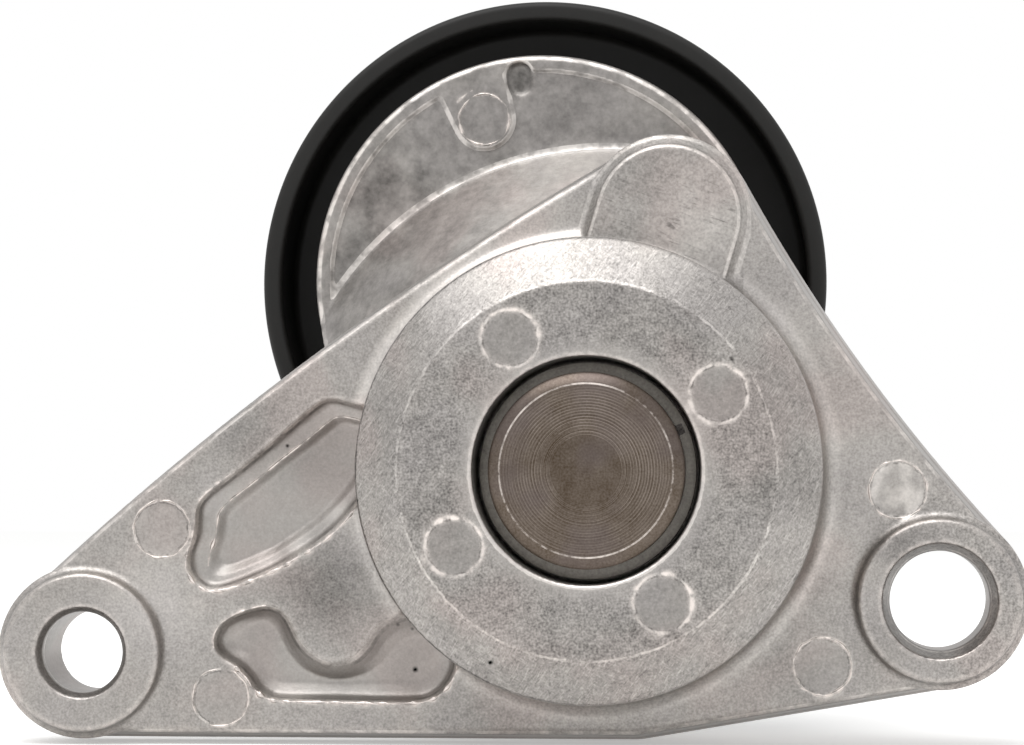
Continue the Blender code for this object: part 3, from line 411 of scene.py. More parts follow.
stop_slot = sector(27.8, 31.7, 53.5, 92.5)
joined(bracket, solid("stop_slot", skinned([(stop_slot, 8.3 * mm), (stop_slot, 14.0 * mm)])), "DIFFERENCE")
cup_lug = sector(16.3, 21.3, 186.1, 199.1)
joined(bracket, solid("cup_lug", skinned([(cup_lug, -8.5 * mm), (cup_lug, -4.1 * mm)])), "UNION")

# Ejector pins leave sunk discs on the hub and the right ear, and proud ones on the left ear.
HUB_FACE = -11.5
PLATE_FACE = 2.0
PIN_R = 3.25
HUB_PINS = [tuple(v / mm for v in polar((0, 0), 17.0 * mm, math.radians(30 + 90 * i))) for i in range(4)]
PLATE_PINS = ((-49.8, -6.6, 0.16), (-42.9, -26.0, 0.14), (34.8, -2.1, -0.22), (26.2, -22.2, -0.1))
PINS = [(x, z, HUB_FACE, -0.13) for x, z in HUB_PINS]
PINS += [(x, z, PLATE_FACE, rise) for x, z, rise in PLATE_PINS]
for x, z, face, rise in PINS:
    low, high = sorted((face - rise, face + math.copysign(1.5, rise)))
    pin = turned([(0, low), (PIN_R, low), (PIN_R, high), (0, high)], (x * mm, z * mm), 64)
    joined(bracket, solid("pin", pin), "UNION" if rise > 0 else "DIFFERENCE")


def cast_skin(item, voxel, ratio, rounds):
    """Give a cut-and-joined solid one even skin with small cast radii, then thin its flats."""
    remesh = item.modifiers.new("skin", "REMESH")
    remesh.mode = "VOXEL"
    remesh.voxel_size = voxel
    soften = item.modifiers.new("edges", "SMOOTH")
    soften.factor = 0.5
    soften.iterations = rounds
    thin = item.modifiers.new("thin", "DECIMATE")
    thin.ratio = ratio
    freeze(item)


def bead(path, thickness, closed=True, sides=1):
    """Mesh of a round bead along a path; thickness gives the radius at each point."""
    curve = bpy.data.curves.new("bead", "CURVE")
    curve.dimensions = "3D"
    curve.bevel_depth = 1.0
    curve.bevel_resolution = sides
    curve.use_fill_caps = not closed
    spline = curve.splines.new("POLY")
    spline.use_cyclic_u = closed
    spline.points.add(len(path) - 1)
    for point, place, radius in zip(spline.points, path, thickness):
        point.co = (*place, 1.0)
        point.radius = radius
    item = bpy.data.objects.new("bead", curve)
    scene.collection.objects.link(item)
    bpy.context.view_layer.update()
    data = bpy.data.meshes.new_from_object(item.evaluated_get(bpy.context.evaluated_depsgraph_get()))
    bpy.data.objects.remove(item)
    return data


def flash_ring(centre, radius, depth, thick, start=0, end=360):
    """Thin uneven rim of metal squeezed up round a pin, all lengths in millimetres."""
    count = max(int(radius * abs(end - start) * 0.07), 12)
    closed = end - start == 360
    path, thickness = [], []
    for i in range(count):
        turn = math.radians(start + (end - start) * i / (count if closed else count - 1))
        x, z = polar(centre, radius, turn)
        wander = noise.noise(Vector((x, depth, z)) * 0.9)
        x, z = polar(centre, radius + 0.13 * wander, turn)
        path.append((x * mm, depth * mm, z * mm))
        thickness.append(thick * mm * (0.6 + 1.1 * noise.noise(Vector((z, x, depth)) * 0.7)))
    return bead(path, thickness, closed)


def rim_flash(outline, first, last, depth, thick):
    """Uneven bead of flash along a pocket's rim, from one of its points to another."""
    path = [(x, depth * mm, z) for x, z in flowing(outline)[first * 6:last * 6 + 1]]
    waves = [noise.noise(Vector(place) * 900) for place in path]
    return bead(path, [thick * mm * max(0.55 + 1.5 * wave, 0.1) for wave in waves], False)


def added(item, meshes):
    """Put small raised marks into a piece's mesh."""
    whole = bmesh.new()
    whole.from_mesh(item.data)
    for data in meshes:
        whole.from_mesh(data)
    whole.to_mesh(item.data)
    whole.free()


cast_skin(bracket, CAST_VOXEL, 0.21, 3)
flash = []
for x, z, face, rise in PINS:
    sunk = 0.2 if face == HUB_FACE else 0.03 - max(rise, 0)
    flash.append(flash_ring((x, z), PIN_R + 0.05, face + sunk, 0.14))
# Stretches of a rim, by its points, with the bead's depth and radius.
RIM_FLASH = (
    (UPPER_RIM, 11, 20, 2.08, 0.26),
    (UPPER_RIM, 6, 11, 2.1, 0.12),
    (UPPER_LEDGE, 0, 12, 3.47, 0.15),
    (LOWER_RIM, 6, 16, 2.08, 0.26),
    (LOWER_RIM, 0, 4, 2.1, 0.12),
)
flash += [rim_flash(*stretch) for stretch in RIM_FLASH]
added(bracket, flash)

# Die-cast aluminium, as cast and tumbled: dull satin grey with a salt-and-pepper grain, faint washes
# where the metal flowed, painted shade in the corners and bright edges, part wear, part painted highlight.
CAST_HUES = ("#a09c98", "#a29b97", "#9f9b98")
EDGE_WEAR_AND_HIGHLIGHT_HUE = "#e3dad4"
CAST_ROUGH = 0.43
CAST_GRAIN = ((0.28, 2.0, 1.6), (0.7, 2.0, 0.8), (2.4, 3.0, 0.45), (9.0, 2.0, 0.3))


def grained(tree, where, layers, level):
    """Level with noises added, each given as (size in mm, detail, swing)."""
    level -= sum(swing for _, _, swing in layers) / 2
    for size, detail, swing in layers:
        field = node(tree, "TexNoise", {"Vector": where, "Scale": 1 / size, "Detail": detail})
        level = node(tree, "Math", {0: field, 1: swing, 2: level}, operation="MULTIPLY_ADD")
    return level


def strokes(tree, where, level, length, width, lean, swing, share=0.6):
    """Level with short parallel marks added, in the XZ plane, sizes in mm and lean in degrees."""
    along = {"Vector": where, "Rotation": (0.0, math.radians(lean), 0.0), "Scale": (length, length, width)}
    along = node(tree, "Mapping", along, vector_type="TEXTURE")
    field = node(tree, "TexNoise", {"Vector": along, "Scale": 1.0, "Detail": 1.0})
    line = node(tree, "MapRange", {"Value": field, "From Min": share, "From Max": share + 0.08})
    return node(tree, "Math", {0: line, 1: swing, 2: level}, operation="MULTIPLY_ADD")


def new_finish(name):
    """New material, its nodes, and the place on the piece in millimetres."""
    material = bpy.data.materials.new(name)
    material.use_nodes = True
    tree = material.node_tree
    place = node(tree, "TexCoord", {}).outputs["Object"]
    return material, tree, node(tree, "VectorMath", {0: place, 3: 1 / mm}, operation="SCALE")


def cast_aluminium(name, layers, marks, rough):
    """Material of a casting; marks adds the piece's own spots to its brightness."""
    material, tree, where = new_finish(name)
    axes = node(tree, "SeparateXYZ", {0: where}).outputs
    tone = marks(tree, where, axes, grained(tree, where, layers, 1.0))

    # Painted shade darkens the inner corners.
    hollow = node(tree, "AmbientOcclusion", {"Distance": 1.0 * mm}, samples=6, only_local=True).outputs["AO"]
    corner_shade = node(tree, "MapRange", {"Value": hollow, "From Min": 0.3, "From Max": 0.6, "To Min": 0.7})
    tone = node(tree, "Math", {0: tone, 1: corner_shade}, operation="MULTIPLY")

    # Edges are bright in patches: part rubbed wear, part painted highlight.
    ridge = node(tree, "AmbientOcclusion", {"Distance": 0.7 * mm}, samples=6, inside=True, only_local=True)
    edge_wear_and_highlight = node(tree, "MapRange", {"Value": ridge.outputs["AO"], "From Min": 0.96, "From Max": 0.66})
    patches = node(tree, "TexNoise", {"Vector": where, "Scale": 1 / 0.9, "Detail": 3.0})
    patchy = node(tree, "MapRange", {"Value": patches, "From Min": 0.38, "From Max": 0.58, "To Min": 0.2})
    edge = node(tree, "Math", {0: edge_wear_and_highlight, 1: patchy}, operation="MULTIPLY")

    drift = node(tree, "TexNoise", {"Vector": where, "Scale": 1 / 13.0, "Detail": 2.0})
    pink = node(tree, "MapRange", {"Value": drift, "From Min": 0.5, "From Max": 0.62})
    blue = node(tree, "MapRange", {"Value": drift, "From Min": 0.5, "From Max": 0.38})
    hue = linear(CAST_HUES[0])
    for share, other in ((pink, CAST_HUES[1]), (blue, CAST_HUES[2])):
        hue = node(tree, "Mix", {0: share, 6: hue, 7: linear(other)}, data_type="RGBA")
    shaded = node(tree, "VectorMath", {0: hue, 3: tone}, operation="SCALE")
    colour = node(tree, "Mix", {0: edge, 6: shaded, 7: linear(EDGE_WEAR_AND_HIGHLIGHT_HUE)}, data_type="RGBA")

    matt = grained(tree, where, ((0.5, 2.0, 0.12), (6.0, 2.0, 0.1)), rough)
    matt = node(tree, "Math", {0: edge, 1: -0.08, 2: matt}, operation="MULTIPLY_ADD")
    height = grained(tree, where, ((0.3, 2.0, 0.4), (1.6, 2.0, 1.0)), 0.5)
    bump = node(tree, "Bump", {"Height": height, "Strength": 0.6, "Distance": 0.06 * mm})
    sockets = {"Metallic": 1.0, "Base Color": colour, "Roughness": matt, "Normal": bump}
    fed(tree.nodes["Principled BSDF"], sockets)
    return material


# The washes and pits: x, z and size in millimetres, and how much lighter or darker.
WASHES = (
    (14.0, 30.0, 9.0, 0.18), (4.0, 36.0, 7.0, -0.16), (-30.4, -13.6, 9.0, -0.42), (33.0, 2.0, 10.0, 0.08),
    (24.0, -24.0, 7.0, -0.12), (-50.5, -15.0, 9.0, 0.3), (-12.0, 27.0, 8.0, 0.1), (28.0, 14.0, 8.0, 0.1),
    (-39.6, 4.8, 9.0, -0.22), (-13.2, -27.6, 8.0, -0.15), (31.6, -19.3, 7.0, -0.15),
    (28.7, -7.9, 7.0, 0.12), (10.9, 26.6, 7.0, 0.22), (-5.7, 28.3, 7.0, 0.2), (35.6, -8.4, 6.0, -0.25),
    (23.8, -0.9, 7.0, -0.16), (17.5, 15.5, 6.0, 0.08), (40.5, -12.0, 10.5, -0.12), (-33.8, -8.8, 2.4, 0.4),
    (-29.6, -4.8, 2.4, 0.4), (-37.5, -10.6, 2.4, 0.3), (-32.0, 2.0, 7.0, -0.2), (-38.0, -19.0, 5.0, -0.1),
    (-22.0, -22.8, 5.0, -0.1), (2.0, 23.0, 7.0, -0.08), (-14.0, 18.0, 8.0, 0.1), (27.5, 4.0, 5.0, 0.16),
    (22.5, 16.5, 6.0, 0.2), (10.4, 4.6, 1.3, -1.0), (-10.8, -21.4, 0.4, -1.0), (-20.6, -22.8, 0.5, -1.0),
    (-22.5, -17.6, 0.35, -0.6), (-20.9, -18.1, 0.3, -0.6), (-35.4, 3.0, 0.35, -0.8),
    (16.2, 12.4, 0.4, -0.8), (41.5, -1.0, 0.35, -0.8),
)


# The bevel's scratches: length, width, lean, and how much lighter or darker.
SCRATCHES = ((1.3, 0.13, -58, 0.3), (1.5, 0.14, -45, -0.22), (1.0, 0.12, -100, -0.16), (1.2, 0.12, 30, 0.2))


def lined(tree, tone, value, at, half, swing, *worn):
    """Tone with a line where value is at, half a width to each side, worn away by other masks."""
    line = node(tree, "Math", {0: value, 1: at, 2: half}, operation="COMPARE")
    for part in worn:
        line = node(tree, "Math", {0: line, 1: part}, operation="MULTIPLY")
    return node(tree, "Math", {0: line, 1: swing, 2: tone}, operation="MULTIPLY_ADD")


def bracket_marks(tree, where, axes, tone):
    """Smooth and dull zones, washes, painted highlight and shade at the pin rims, hub, plate and pad,
    flow lines on the tongue and scratches on the bevel.
    """
    flat = node(tree, "VectorMath", {0: where, 1: (1.0, 0.0, 1.0)}, operation="MULTIPLY")
    wander = node(tree, "TexNoise", {"Vector": where, "Scale": 1 / 0.8, "Detail": 2.0})
    broken = node(tree, "MapRange", {"Value": wander, "From Min": 0.42, "From Max": 0.56})
    radius = node(tree, "VectorMath", {0: flat}, operation="LENGTH")
    radius = node(tree, "Math", {0: wander, 1: 0.35, 2: radius}, operation="MULTIPLY_ADD")
    on_hub = node(tree, "Math", {0: axes["Y"], 1: -7.7}, operation="LESS_THAN")
    coarse = node(tree, "TexNoise", {"Vector": where, "Scale": 1 / 2.6, "Detail": 2.0})
    torn = node(tree, "MapRange", {"Value": coarse, "From Min": 0.4, "From Max": 0.6, "To Min": 0.05})

    # The pockets, the pins' discs and the rubbed band round the bore have less grain.
    near = None
    for x, z, face, _ in PINS:
        gone = node(tree, "VectorMath", {0: where, 1: (x, face, z)}, operation="DISTANCE")
        near = node(tree, "Math", {0: gone, 1: near}, operation="MINIMUM") if near else gone
    near = node(tree, "Math", {0: wander, 1: 0.5, 2: near}, operation="MULTIPLY_ADD")
    calm = node(tree, "MapRange", {"Value": near, "From Min": 3.45, "From Max": 3.15, "To Max": 0.6})
    pocket = node(tree, "MapRange", {"Value": axes["Y"], "From Min": 2.3, "From Max": 2.8, "To Max": 0.8})
    lip = node(tree, "MapRange", {"Value": radius, "From Min": 15.2, "From Max": 13.6, "To Max": 0.6})
    lip = node(tree, "Math", {0: lip, 1: on_hub}, operation="MULTIPLY")
    plate = node(tree, "MapRange", {"Value": axes["Y"], "From Min": -11.4, "From Max": -10.8, "To Max": 0.4})
    off_ear = node(tree, "MapRange", {"Value": axes["X"], "From Min": 42.0, "From Max": 36.0})
    plate = node(tree, "Math", {0: plate, 1: off_ear}, operation="MULTIPLY")
    for zone in (pocket, lip, plate):
        calm = node(tree, "Math", {0: calm, 1: zone}, operation="MAXIMUM")
    tone = node(tree, "Mix", {0: calm, 2: tone, 3: 1.0})
    tone = node(tree, "Math", {0: lip, 1: 0.3, 2: tone}, operation="MULTIPLY_ADD")

    for x, z, size, swing in WASHES:
        gone = node(tree, "VectorMath", {0: flat, 1: (x, 0.0, z)}, operation="DISTANCE")
        fade = {"Value": gone, "From Max": size, "To Min": swing, "To Max": 0.0}
        wash = node(tree, "MapRange", fade, interpolation_type="SMOOTHSTEP")
        tone = node(tree, "Math", {0: tone, 1: wash}, operation="ADD")

    # Thin broken lines: painted highlight and painted shade round the pin rims, a painted highlight at
    # the hub face's edge, a painted shadow line at the hub's foot on its left, a painted highlight low on the
    # bore.
    for at, half, swing in ((3.57, 0.14, 0.5), (3.33, 0.1, -0.3)):
        tone = lined(tree, tone, near, at, half, swing, broken)
    # Painted shadow falls on the left of the hub's foot, and painted highlight on the low side of the bore.
    left = node(tree, "MapRange", {"Value": axes["X"], "From Min": 6.0, "From Max": -12.0})
    low = node(tree, "MapRange", {"Value": axes["Z"], "From Min": 7.0, "From Max": -4.0})
    hub_light_and_shade_lines = ((21.4, 0.13, 0.55, torn), (26.35, 0.1, -0.5, left), (13.15, 0.28, 0.7, low))
    for at, half, swing, part in hub_light_and_shade_lines:
        tone = lined(tree, tone, radius, at, half, swing, part, on_hub)
    face = node(tree, "Math", {0: radius, 1: 21.25}, operation="LESS_THAN")
    face = node(tree, "Math", {0: face, 1: on_hub}, operation="MULTIPLY")
    tone = node(tree, "Math", {0: face, 1: -0.18, 2: tone}, operation="MULTIPLY_ADD")

    # The plate's rims are bright in pieces, part rubbed wear and part painted highlight, with a painted shade
    # line behind.
    for at, half, swing in ((2.32, 0.2, 0.6), (2.75, 0.14, -0.3)):
        tone = lined(tree, tone, axes["Y"], at, half, swing, torn)

    # The fillet round the hub shines.
    fillet = node(tree, "MapRange", {"Value": radius, "From Min": 29.3, "From Max": 28.3})
    beside = node(tree, "Math", {0: axes["X"], 1: 8.0}, operation="SUBTRACT")
    beside = node(tree, "Math", {0: beside}, operation="ABSOLUTE")
    beside = node(tree, "Math", {0: beside, 1: 9.3}, operation="GREATER_THAN")
    below = node(tree, "Math", {0: axes["Z"], 1: 20.0}, operation="LESS_THAN")
    off_pad = node(tree, "Math", {0: beside, 1: below}, operation="MAXIMUM")
    behind = node(tree, "Math", {0: axes["Y"], 1: 2.3}, operation="LESS_THAN")
    off_hub = node(tree, "Math", {0: 1.0, 1: on_hub}, operation="SUBTRACT")
    for part in (off_pad, behind, off_hub):
        fillet = node(tree, "Math", {0: fillet, 1: part}, operation="MULTIPLY")
    shine = node(tree, "MapRange", {"Value": axes["X"], "From Min": -4.0, "From Max": -16.0})
    high = node(tree, "MapRange", {"Value": axes["Z"], "From Min": -2.0, "From Max": 9.0})
    shine = node(tree, "Math", {0: shine, 1: high}, operation="MULTIPLY")
    shine = node(tree, "Math", {0: shine, 1: 0.4, 2: 0.22}, operation="MULTIPLY_ADD")
    tone = node(tree, "Math", {0: fillet, 1: shine, 2: tone}, operation="MULTIPLY_ADD")

    # The pad's rim is bright, part rubbed wear and part painted highlight, with painted shade under it and a
    # painted highlight on its foot.
    outside = node(tree, "Math", {0: axes["X"], 1: 8.0, 2: 10.2}, operation="COMPARE")
    gritty = node(tree, "MapRange", {"Value": wander, "From Min": 0.36, "From Max": 0.6, "To Min": 0.35})
    above = node(tree, "Math", {0: axes["Z"], 1: 22.0}, operation="GREATER_THAN")
    for at, half, swing in ((0.57, 0.13, 0.6), (0.86, 0.14, -0.25), (1.82, 0.16, 0.35)):
        tone = lined(tree, tone, axes["Y"], at, half, swing, outside, above, gritty)

    # Scratches on the bevel and flow marks on the tongue.
    bevel = node(tree, "Math", {0: on_hub, 1: face}, operation="SUBTRACT")
    tone = node(tree, "Math", {0: bevel, 1: -0.05, 2: tone}, operation="MULTIPLY_ADD")
    for length, width, lean, swing in SCRATCHES:
        amount = node(tree, "Math", {0: bevel, 1: swing}, operation="MULTIPLY")
        tone = strokes(tree, where, tone, length, width, lean, amount)
    tongue = node(tree, "MapRange", {"Value": axes["Z"], "From Min": 35.0, "From Max": 31.0})
    for side, way, at in (("Y", "LESS_THAN", 0.8), ("Z", "GREATER_THAN", 20.0), ("Y", "GREATER_THAN", 0.0)):
        limit = node(tree, "Math", {0: axes[side], 1: at}, operation=way)
        tongue = node(tree, "Math", {0: tongue, 1: limit}, operation="MULTIPLY")
    patch = node(tree, "TexNoise", {"Vector": where, "Scale": 1 / 4.0, "Detail": 2.0})
    patch = node(tree, "MapRange", {"Value": patch, "From Min": 0.4, "From Max": 0.6, "To Max": -0.4})
    amount = node(tree, "Math", {0: tongue, 1: patch}, operation="MULTIPLY")
    return strokes(tree, where, tone, 2.2, 0.3, 20, amount, 0.59)


cast = cast_aluminium("die_cast_aluminium", CAST_GRAIN, bracket_marks, CAST_ROUGH)
bracket.data.materials.append(cast)
bracket.data.shade_smooth()
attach(bracket, "bracket")
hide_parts("mounting_bracket")


# Pivot bush
# A plain sintered bronze bush, pressed into the bracket's post; the shaft turns in it. Only its
# bright bore edge can be seen, past the shaft's head.
def ring_edges(mesh, width, least=30):
    """Ease the turned edges whose faces meet at more than least degrees."""
    limit = math.radians(least)
    sharp = [edge for edge in mesh.edges if edge.is_manifold and edge.calc_face_angle() > limit]
    bmesh.ops.bevel(mesh, geom=sharp, offset=width * mm, segments=2, affect="EDGES", profile=0.5, material=-1)
    return mesh


def smoothed(item, sharp):
    """Shade a piece smooth, with edges past an angle in degrees kept sharp."""
    item.data.shade_smooth()
    item.data.set_sharp_from_angle(angle=math.radians(sharp))


def machined(name, profile, centre=(0.0, 0.0), edge=0.15, steps=128):
    """Turned piece with small eased edges."""
    mesh = turned(profile, centre, steps)
    bmesh.ops.remove_doubles(mesh, verts=mesh.verts, dist=1e-7)
    bmesh.ops.recalc_face_normals(mesh, faces=mesh.faces)
    item = solid(name, ring_edges(mesh, edge))
    smoothed(item, 35)
    return item


def ring(inner, outer, rear, front):
    return [(inner, rear), (outer, rear), (outer, front), (inner, front)]


def spots(name, colours, layers, metallic, rough, swing, height, depth):
    """Material whose colour runs between two tones by noises given as (size in mm, detail, swing)."""
    material, tree, where = new_finish(name)
    share = grained(tree, where, layers, 0.5)
    colour = node(tree, "Mix", {0: share, 6: linear(colours[0]), 7: linear(colours[1])}, data_type="RGBA")
    matt = node(tree, "Math", {0: share, 1: swing, 2: rough - swing / 2}, operation="MULTIPLY_ADD")
    field = node(tree, "TexNoise", {"Vector": where, "Scale": 1 / height, "Detail": 2.0})
    bump = node(tree, "Bump", {"Height": field, "Strength": 0.5, "Distance": depth * mm})
    sockets = {"Metallic": metallic, "Base Color": colour, "Roughness": matt, "Normal": bump}
    fed(tree.nodes["Principled BSDF"], sockets)
    return material


# Sintered bronze, oil-soaked: dull brown gold with open pores.
bronze = spots(
    "sintered_bronze", ("#6d5738", "#a98a5c"), ((0.3, 2.0, 1.6), (3.0, 2.0, 0.6)),
    metallic=1.0, rough=0.45, swing=0.15, height=0.25, depth=0.03,
)
bush = machined("pivot_bush_ring", ring(9.3, 10.3, -5.6, 12.5), edge=0.2)
bush.data.materials.append(bronze)
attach(bush, "bracket")
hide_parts("pivot_bush")


# Pivot shaft
# A steel pin, faced and chamfered on a lathe, with its head in the hub's counterbore and its
# front end pressed into the arm. The tool has left fine rings, and oil has browned the face.
HEAD_R = 11.0
CHAMFER_R = 9.7
RING_PITCH = 0.33
RING_DEPTH = 0.014
face = [(0.0, -11.5)]
cuts = int((CHAMFER_R - 3.6) / RING_PITCH)
for i in range(cuts):
    start = 3.6 + i * RING_PITCH
    face += [(start, -11.5), (start + 0.5 * RING_PITCH, -11.5 + RING_DEPTH)]
face += [(CHAMFER_R - 0.1, -11.5), (CHAMFER_R + 0.12, -11.44), (HEAD_R - 0.25, -11.0)]
face += [(HEAD_R, -10.75), (HEAD_R, -8.1), (HEAD_R - 0.1, -8.0)]
face += [(9.0, -8.0), (9.0, 14.8), (8.5, 14.8), (8.5, 33.9), (7.9, 34.5), (0.0, 34.5)]
shaft = solid("pivot_shaft_pin", turned(face, steps=256))
smoothed(shaft, 40)

# Turned steel, bare and oily: brown grey with concentric tool rings and a smoother middle.
SHAFT_BROWN = "#493e33"
SHAFT_GREY = "#7a7068"
SHAFT_VIOLET = "#5d5455"
SHAFT_EDGE = "#cfc6bf"
turned_steel, tree, where = new_finish("turned_steel")
axes = node(tree, "SeparateXYZ", {0: where}).outputs
flat = node(tree, "VectorMath", {0: where, 1: (1.0, 0.0, 1.0)}, operation="MULTIPLY")
radius = node(tree, "VectorMath", {0: flat}, operation="LENGTH")

# Rings of uneven brightness, between the smooth middle and the chamfer: in the colour they are painted
# light and shade of the tool rings, and they also set the roughness and the bumps.
along = node(tree, "CombineXYZ", {"X": radius})
rings = node(tree, "TexNoise", {"Vector": along, "Scale": 1 / 0.16, "Detail": 3.0, "Roughness": 0.7})
spread = {"Value": rings, "From Min": 0.36, "From Max": 0.64, "To Min": -0.5, "To Max": 0.5}
ring_relief_and_shading = node(tree, "MapRange", spread)
middle = node(tree, "MapRange", {"Value": radius, "From Min": 3.7, "From Max": 4.2, "To Min": 0.04})
inside = node(tree, "MapRange", {"Value": radius, "From Min": 9.8, "From Max": 9.6})
turned_zone = node(tree, "Math", {0: middle, 1: inside}, operation="MULTIPLY")
ring_relief_and_shading = node(tree, "Math", {0: ring_relief_and_shading, 1: turned_zone}, operation="MULTIPLY")
share = grained(tree, where, ((0.25, 2.0, 1.0), (1.6, 3.0, 0.5), (6.0, 2.0, 0.6)), 0.34)
share = node(tree, "Math", {0: ring_relief_and_shading, 1: 0.8, 2: share}, operation="MULTIPLY_ADD")

# The tool's feed rings get even ripples of painted highlight, stronger on the upper side, where oil hasn't
# smeared them.
ring_highlights = node(tree, "Math", {0: radius, 1: 2 * math.pi / RING_PITCH}, operation="MULTIPLY")
ring_highlights = node(tree, "Math", {0: ring_highlights}, operation="SINE")
ring_highlights = node(tree, "MapRange", {"Value": ring_highlights, "From Min": 0.1, "From Max": 1.0})
smear = node(tree, "TexNoise", {"Vector": where, "Scale": 1 / 5.0, "Detail": 2.0})
smear = node(tree, "MapRange", {"Value": smear, "From Min": 0.38, "From Max": 0.58, "To Min": 0.1})
upper_side_highlight = node(tree, "MapRange", {"Value": axes["Z"], "From Min": -8.0, "From Max": 4.0, "To Min": 0.3})
for part in (turned_zone, smear, upper_side_highlight):
    ring_highlights = node(tree, "Math", {0: ring_highlights, 1: part}, operation="MULTIPLY")
share = node(tree, "Math", {0: ring_highlights, 1: 0.95, 2: share}, operation="MULTIPLY_ADD")
outward = node(tree, "MapRange", {"Value": radius, "From Min": 3.0, "From Max": 10.0, "To Max": 0.12})
share = node(tree, "Math", {0: share, 1: outward}, operation="ADD")
ends = {0: share, 6: linear(SHAFT_BROWN), 7: linear(SHAFT_GREY)}
colour = node(tree, "Mix", ends, data_type="RGBA", clamp_factor=False)
oil = node(tree, "TexNoise", {"Vector": where, "Scale": 1 / 7.0, "Detail": 3.0})
oil = node(tree, "MapRange", {"Value": oil, "From Min": 0.44, "From Max": 0.64, "To Max": 0.4})
colour = node(tree, "Mix", {0: oil, 6: colour, 7: linear(SHAFT_VIOLET)}, data_type="RGBA")

# The chamfer's inner edge is worn bright in places.
lip = node(tree, "Math", {0: radius, 1: CHAMFER_R, 2: 0.1}, operation="COMPARE")
front = node(tree, "Math", {0: axes["Y"], 1: -11.2}, operation="LESS_THAN")
lip = node(tree, "Math", {0: lip, 1: front}, operation="MULTIPLY")
worn = grained(tree, where, ((0.5, 2.0, 1.6), (6.0, 1.0, 2.6)), 0.4)
lip = node(tree, "Math", {0: lip, 1: worn}, operation="MULTIPLY", use_clamp=True)
colour = node(tree, "Mix", {0: lip, 6: colour, 7: linear(SHAFT_EDGE)}, data_type="RGBA")
matt = node(tree, "Math", {0: ring_relief_and_shading, 1: 0.12, 2: 0.36}, operation="MULTIPLY_ADD")
bump = node(tree, "Bump", {"Height": ring_relief_and_shading, "Strength": 0.6, "Distance": 0.03 * mm})
sockets = {"Metallic": 1.0, "Base Color": colour, "Roughness": matt, "Normal": bump}
fed(tree.nodes["Principled BSDF"], sockets)
shaft.data.materials.append(turned_steel)
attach(shaft, "arm")
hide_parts("pivot_shaft")


# Rear washer
# A dark steel washer behind the shaft's head, in the hub's counterbore. It is punched from plate,
# with one locking notch in its rim.
def block(size, place, turn, centre=(0.0, 0.0), taper=1.0):
    """Block in millimetres that narrows to its front, turned in degrees about the axis at centre."""
    mesh = bmesh.new()
    bmesh.ops.create_cube(mesh, size=1.0)
    bmesh.ops.scale(mesh, vec=[side * mm for side in size], verts=mesh.verts)
    bmesh.ops.translate(mesh, vec=[step * mm for step in place], verts=mesh.verts)
    front = [corner for corner in mesh.verts if corner.co.y > place[1] * mm]
    bmesh.ops.scale(mesh, vec=(1.0, 1.0, taper), verts=front)
    around = Matrix.Rotation(math.radians(-turn), 3, "Y")
    bmesh.ops.rotate(mesh, cent=(0, 0, 0), matrix=around, verts=mesh.verts)
    bmesh.ops.translate(mesh, vec=(centre[0], 0.0, centre[1]), verts=mesh.verts)
    return mesh


washer = machined("rear_washer_plate", ring(9.3, 12.2, -7.7, -6.2), edge=0.12, steps=192)
joined(washer, solid("notch", block((0.9, 4, 1.2), (11.3, -7.0, 0.0), 24)), "DIFFERENCE")

# Phosphated steel: near-black grey, matt, with faint light rubs.
phosphated = spots(
    "phosphated_steel", ("#605d58", "#8b8781"), ((0.3, 2.0, 1.2), (2.0, 2.0, 0.8)),
    metallic=1.0, rough=0.5, swing=0.1, height=0.3, depth=0.03,
)
washer.data.materials.append(phosphated)
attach(washer, "bracket")
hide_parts("rear_washer")


# Thrust washer
# A steel washer, punched and zinc plated, between the bracket's post and the arm. It keeps the
# two castings from rubbing as the arm swings.
thrust = machined("thrust_washer_plate", ring(9.3, 15.2, 12.8, 14.8), edge=0.2)
# Zinc plate: pale bluish grey with a faint spangle of lighter spots.
zinc = spots(
    "zinc_plate", ("#9b9c9a", "#c9cac6"), ((0.5, 2.0, 1.2), (4.0, 2.0, 0.8)),
    metallic=1.0, rough=0.34, swing=0.12, height=0.4, depth=0.02,
)
thrust.data.materials.append(zinc)
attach(thrust, "bracket")
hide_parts("thrust_washer")


# Friction ring
# A moulded band of natural nylon on the cup's machined rim. It rubs on the arm's flange and so
# damps the arm.
friction = machined("friction_ring_band", ring(23.6, 26.9, 12.8, 14.8), edge=0.25, steps=192)
# Natural nylon: creamy tan, slightly waxy, with a faint cloud in it.
natural_nylon = spots(
    "natural_nylon", ("#948766", "#b7ab8a"), ((0.8, 2.0, 0.8), (5.0, 2.0, 1.0)),
    metallic=0.0, rough=0.48, swing=0.1, height=0.6, depth=0.02,
)
friction.data.materials.append(natural_nylon)
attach(friction, "bracket")
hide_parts("friction_ring")


# Torsion spring
# Round wire coiled four turns round the post. One end pushes on the lug in the cup and the other
# on the lug under the arm, so that it winds up as the arm swings.
SPRING_R = 18.8
WIRE_R = 1.7
TURNS = 4
SPRING_REAR = -5.5
SPRING_FRONT = 12.2
steps = 72 * TURNS
path = []
for i in range(steps + 1):
    x, z = polar((0, 0), SPRING_R * mm, math.radians(200) + i / steps * TURNS * 2 * math.pi)
    path.append((x, (SPRING_REAR + i / steps * (SPRING_FRONT - SPRING_REAR)) * mm, z))
spring = bpy.data.objects.new("torsion_spring_wire", bead(path, [WIRE_R * mm] * len(path), False, 4))
scene.collection.objects.link(spring)
smoothed(spring, 50)
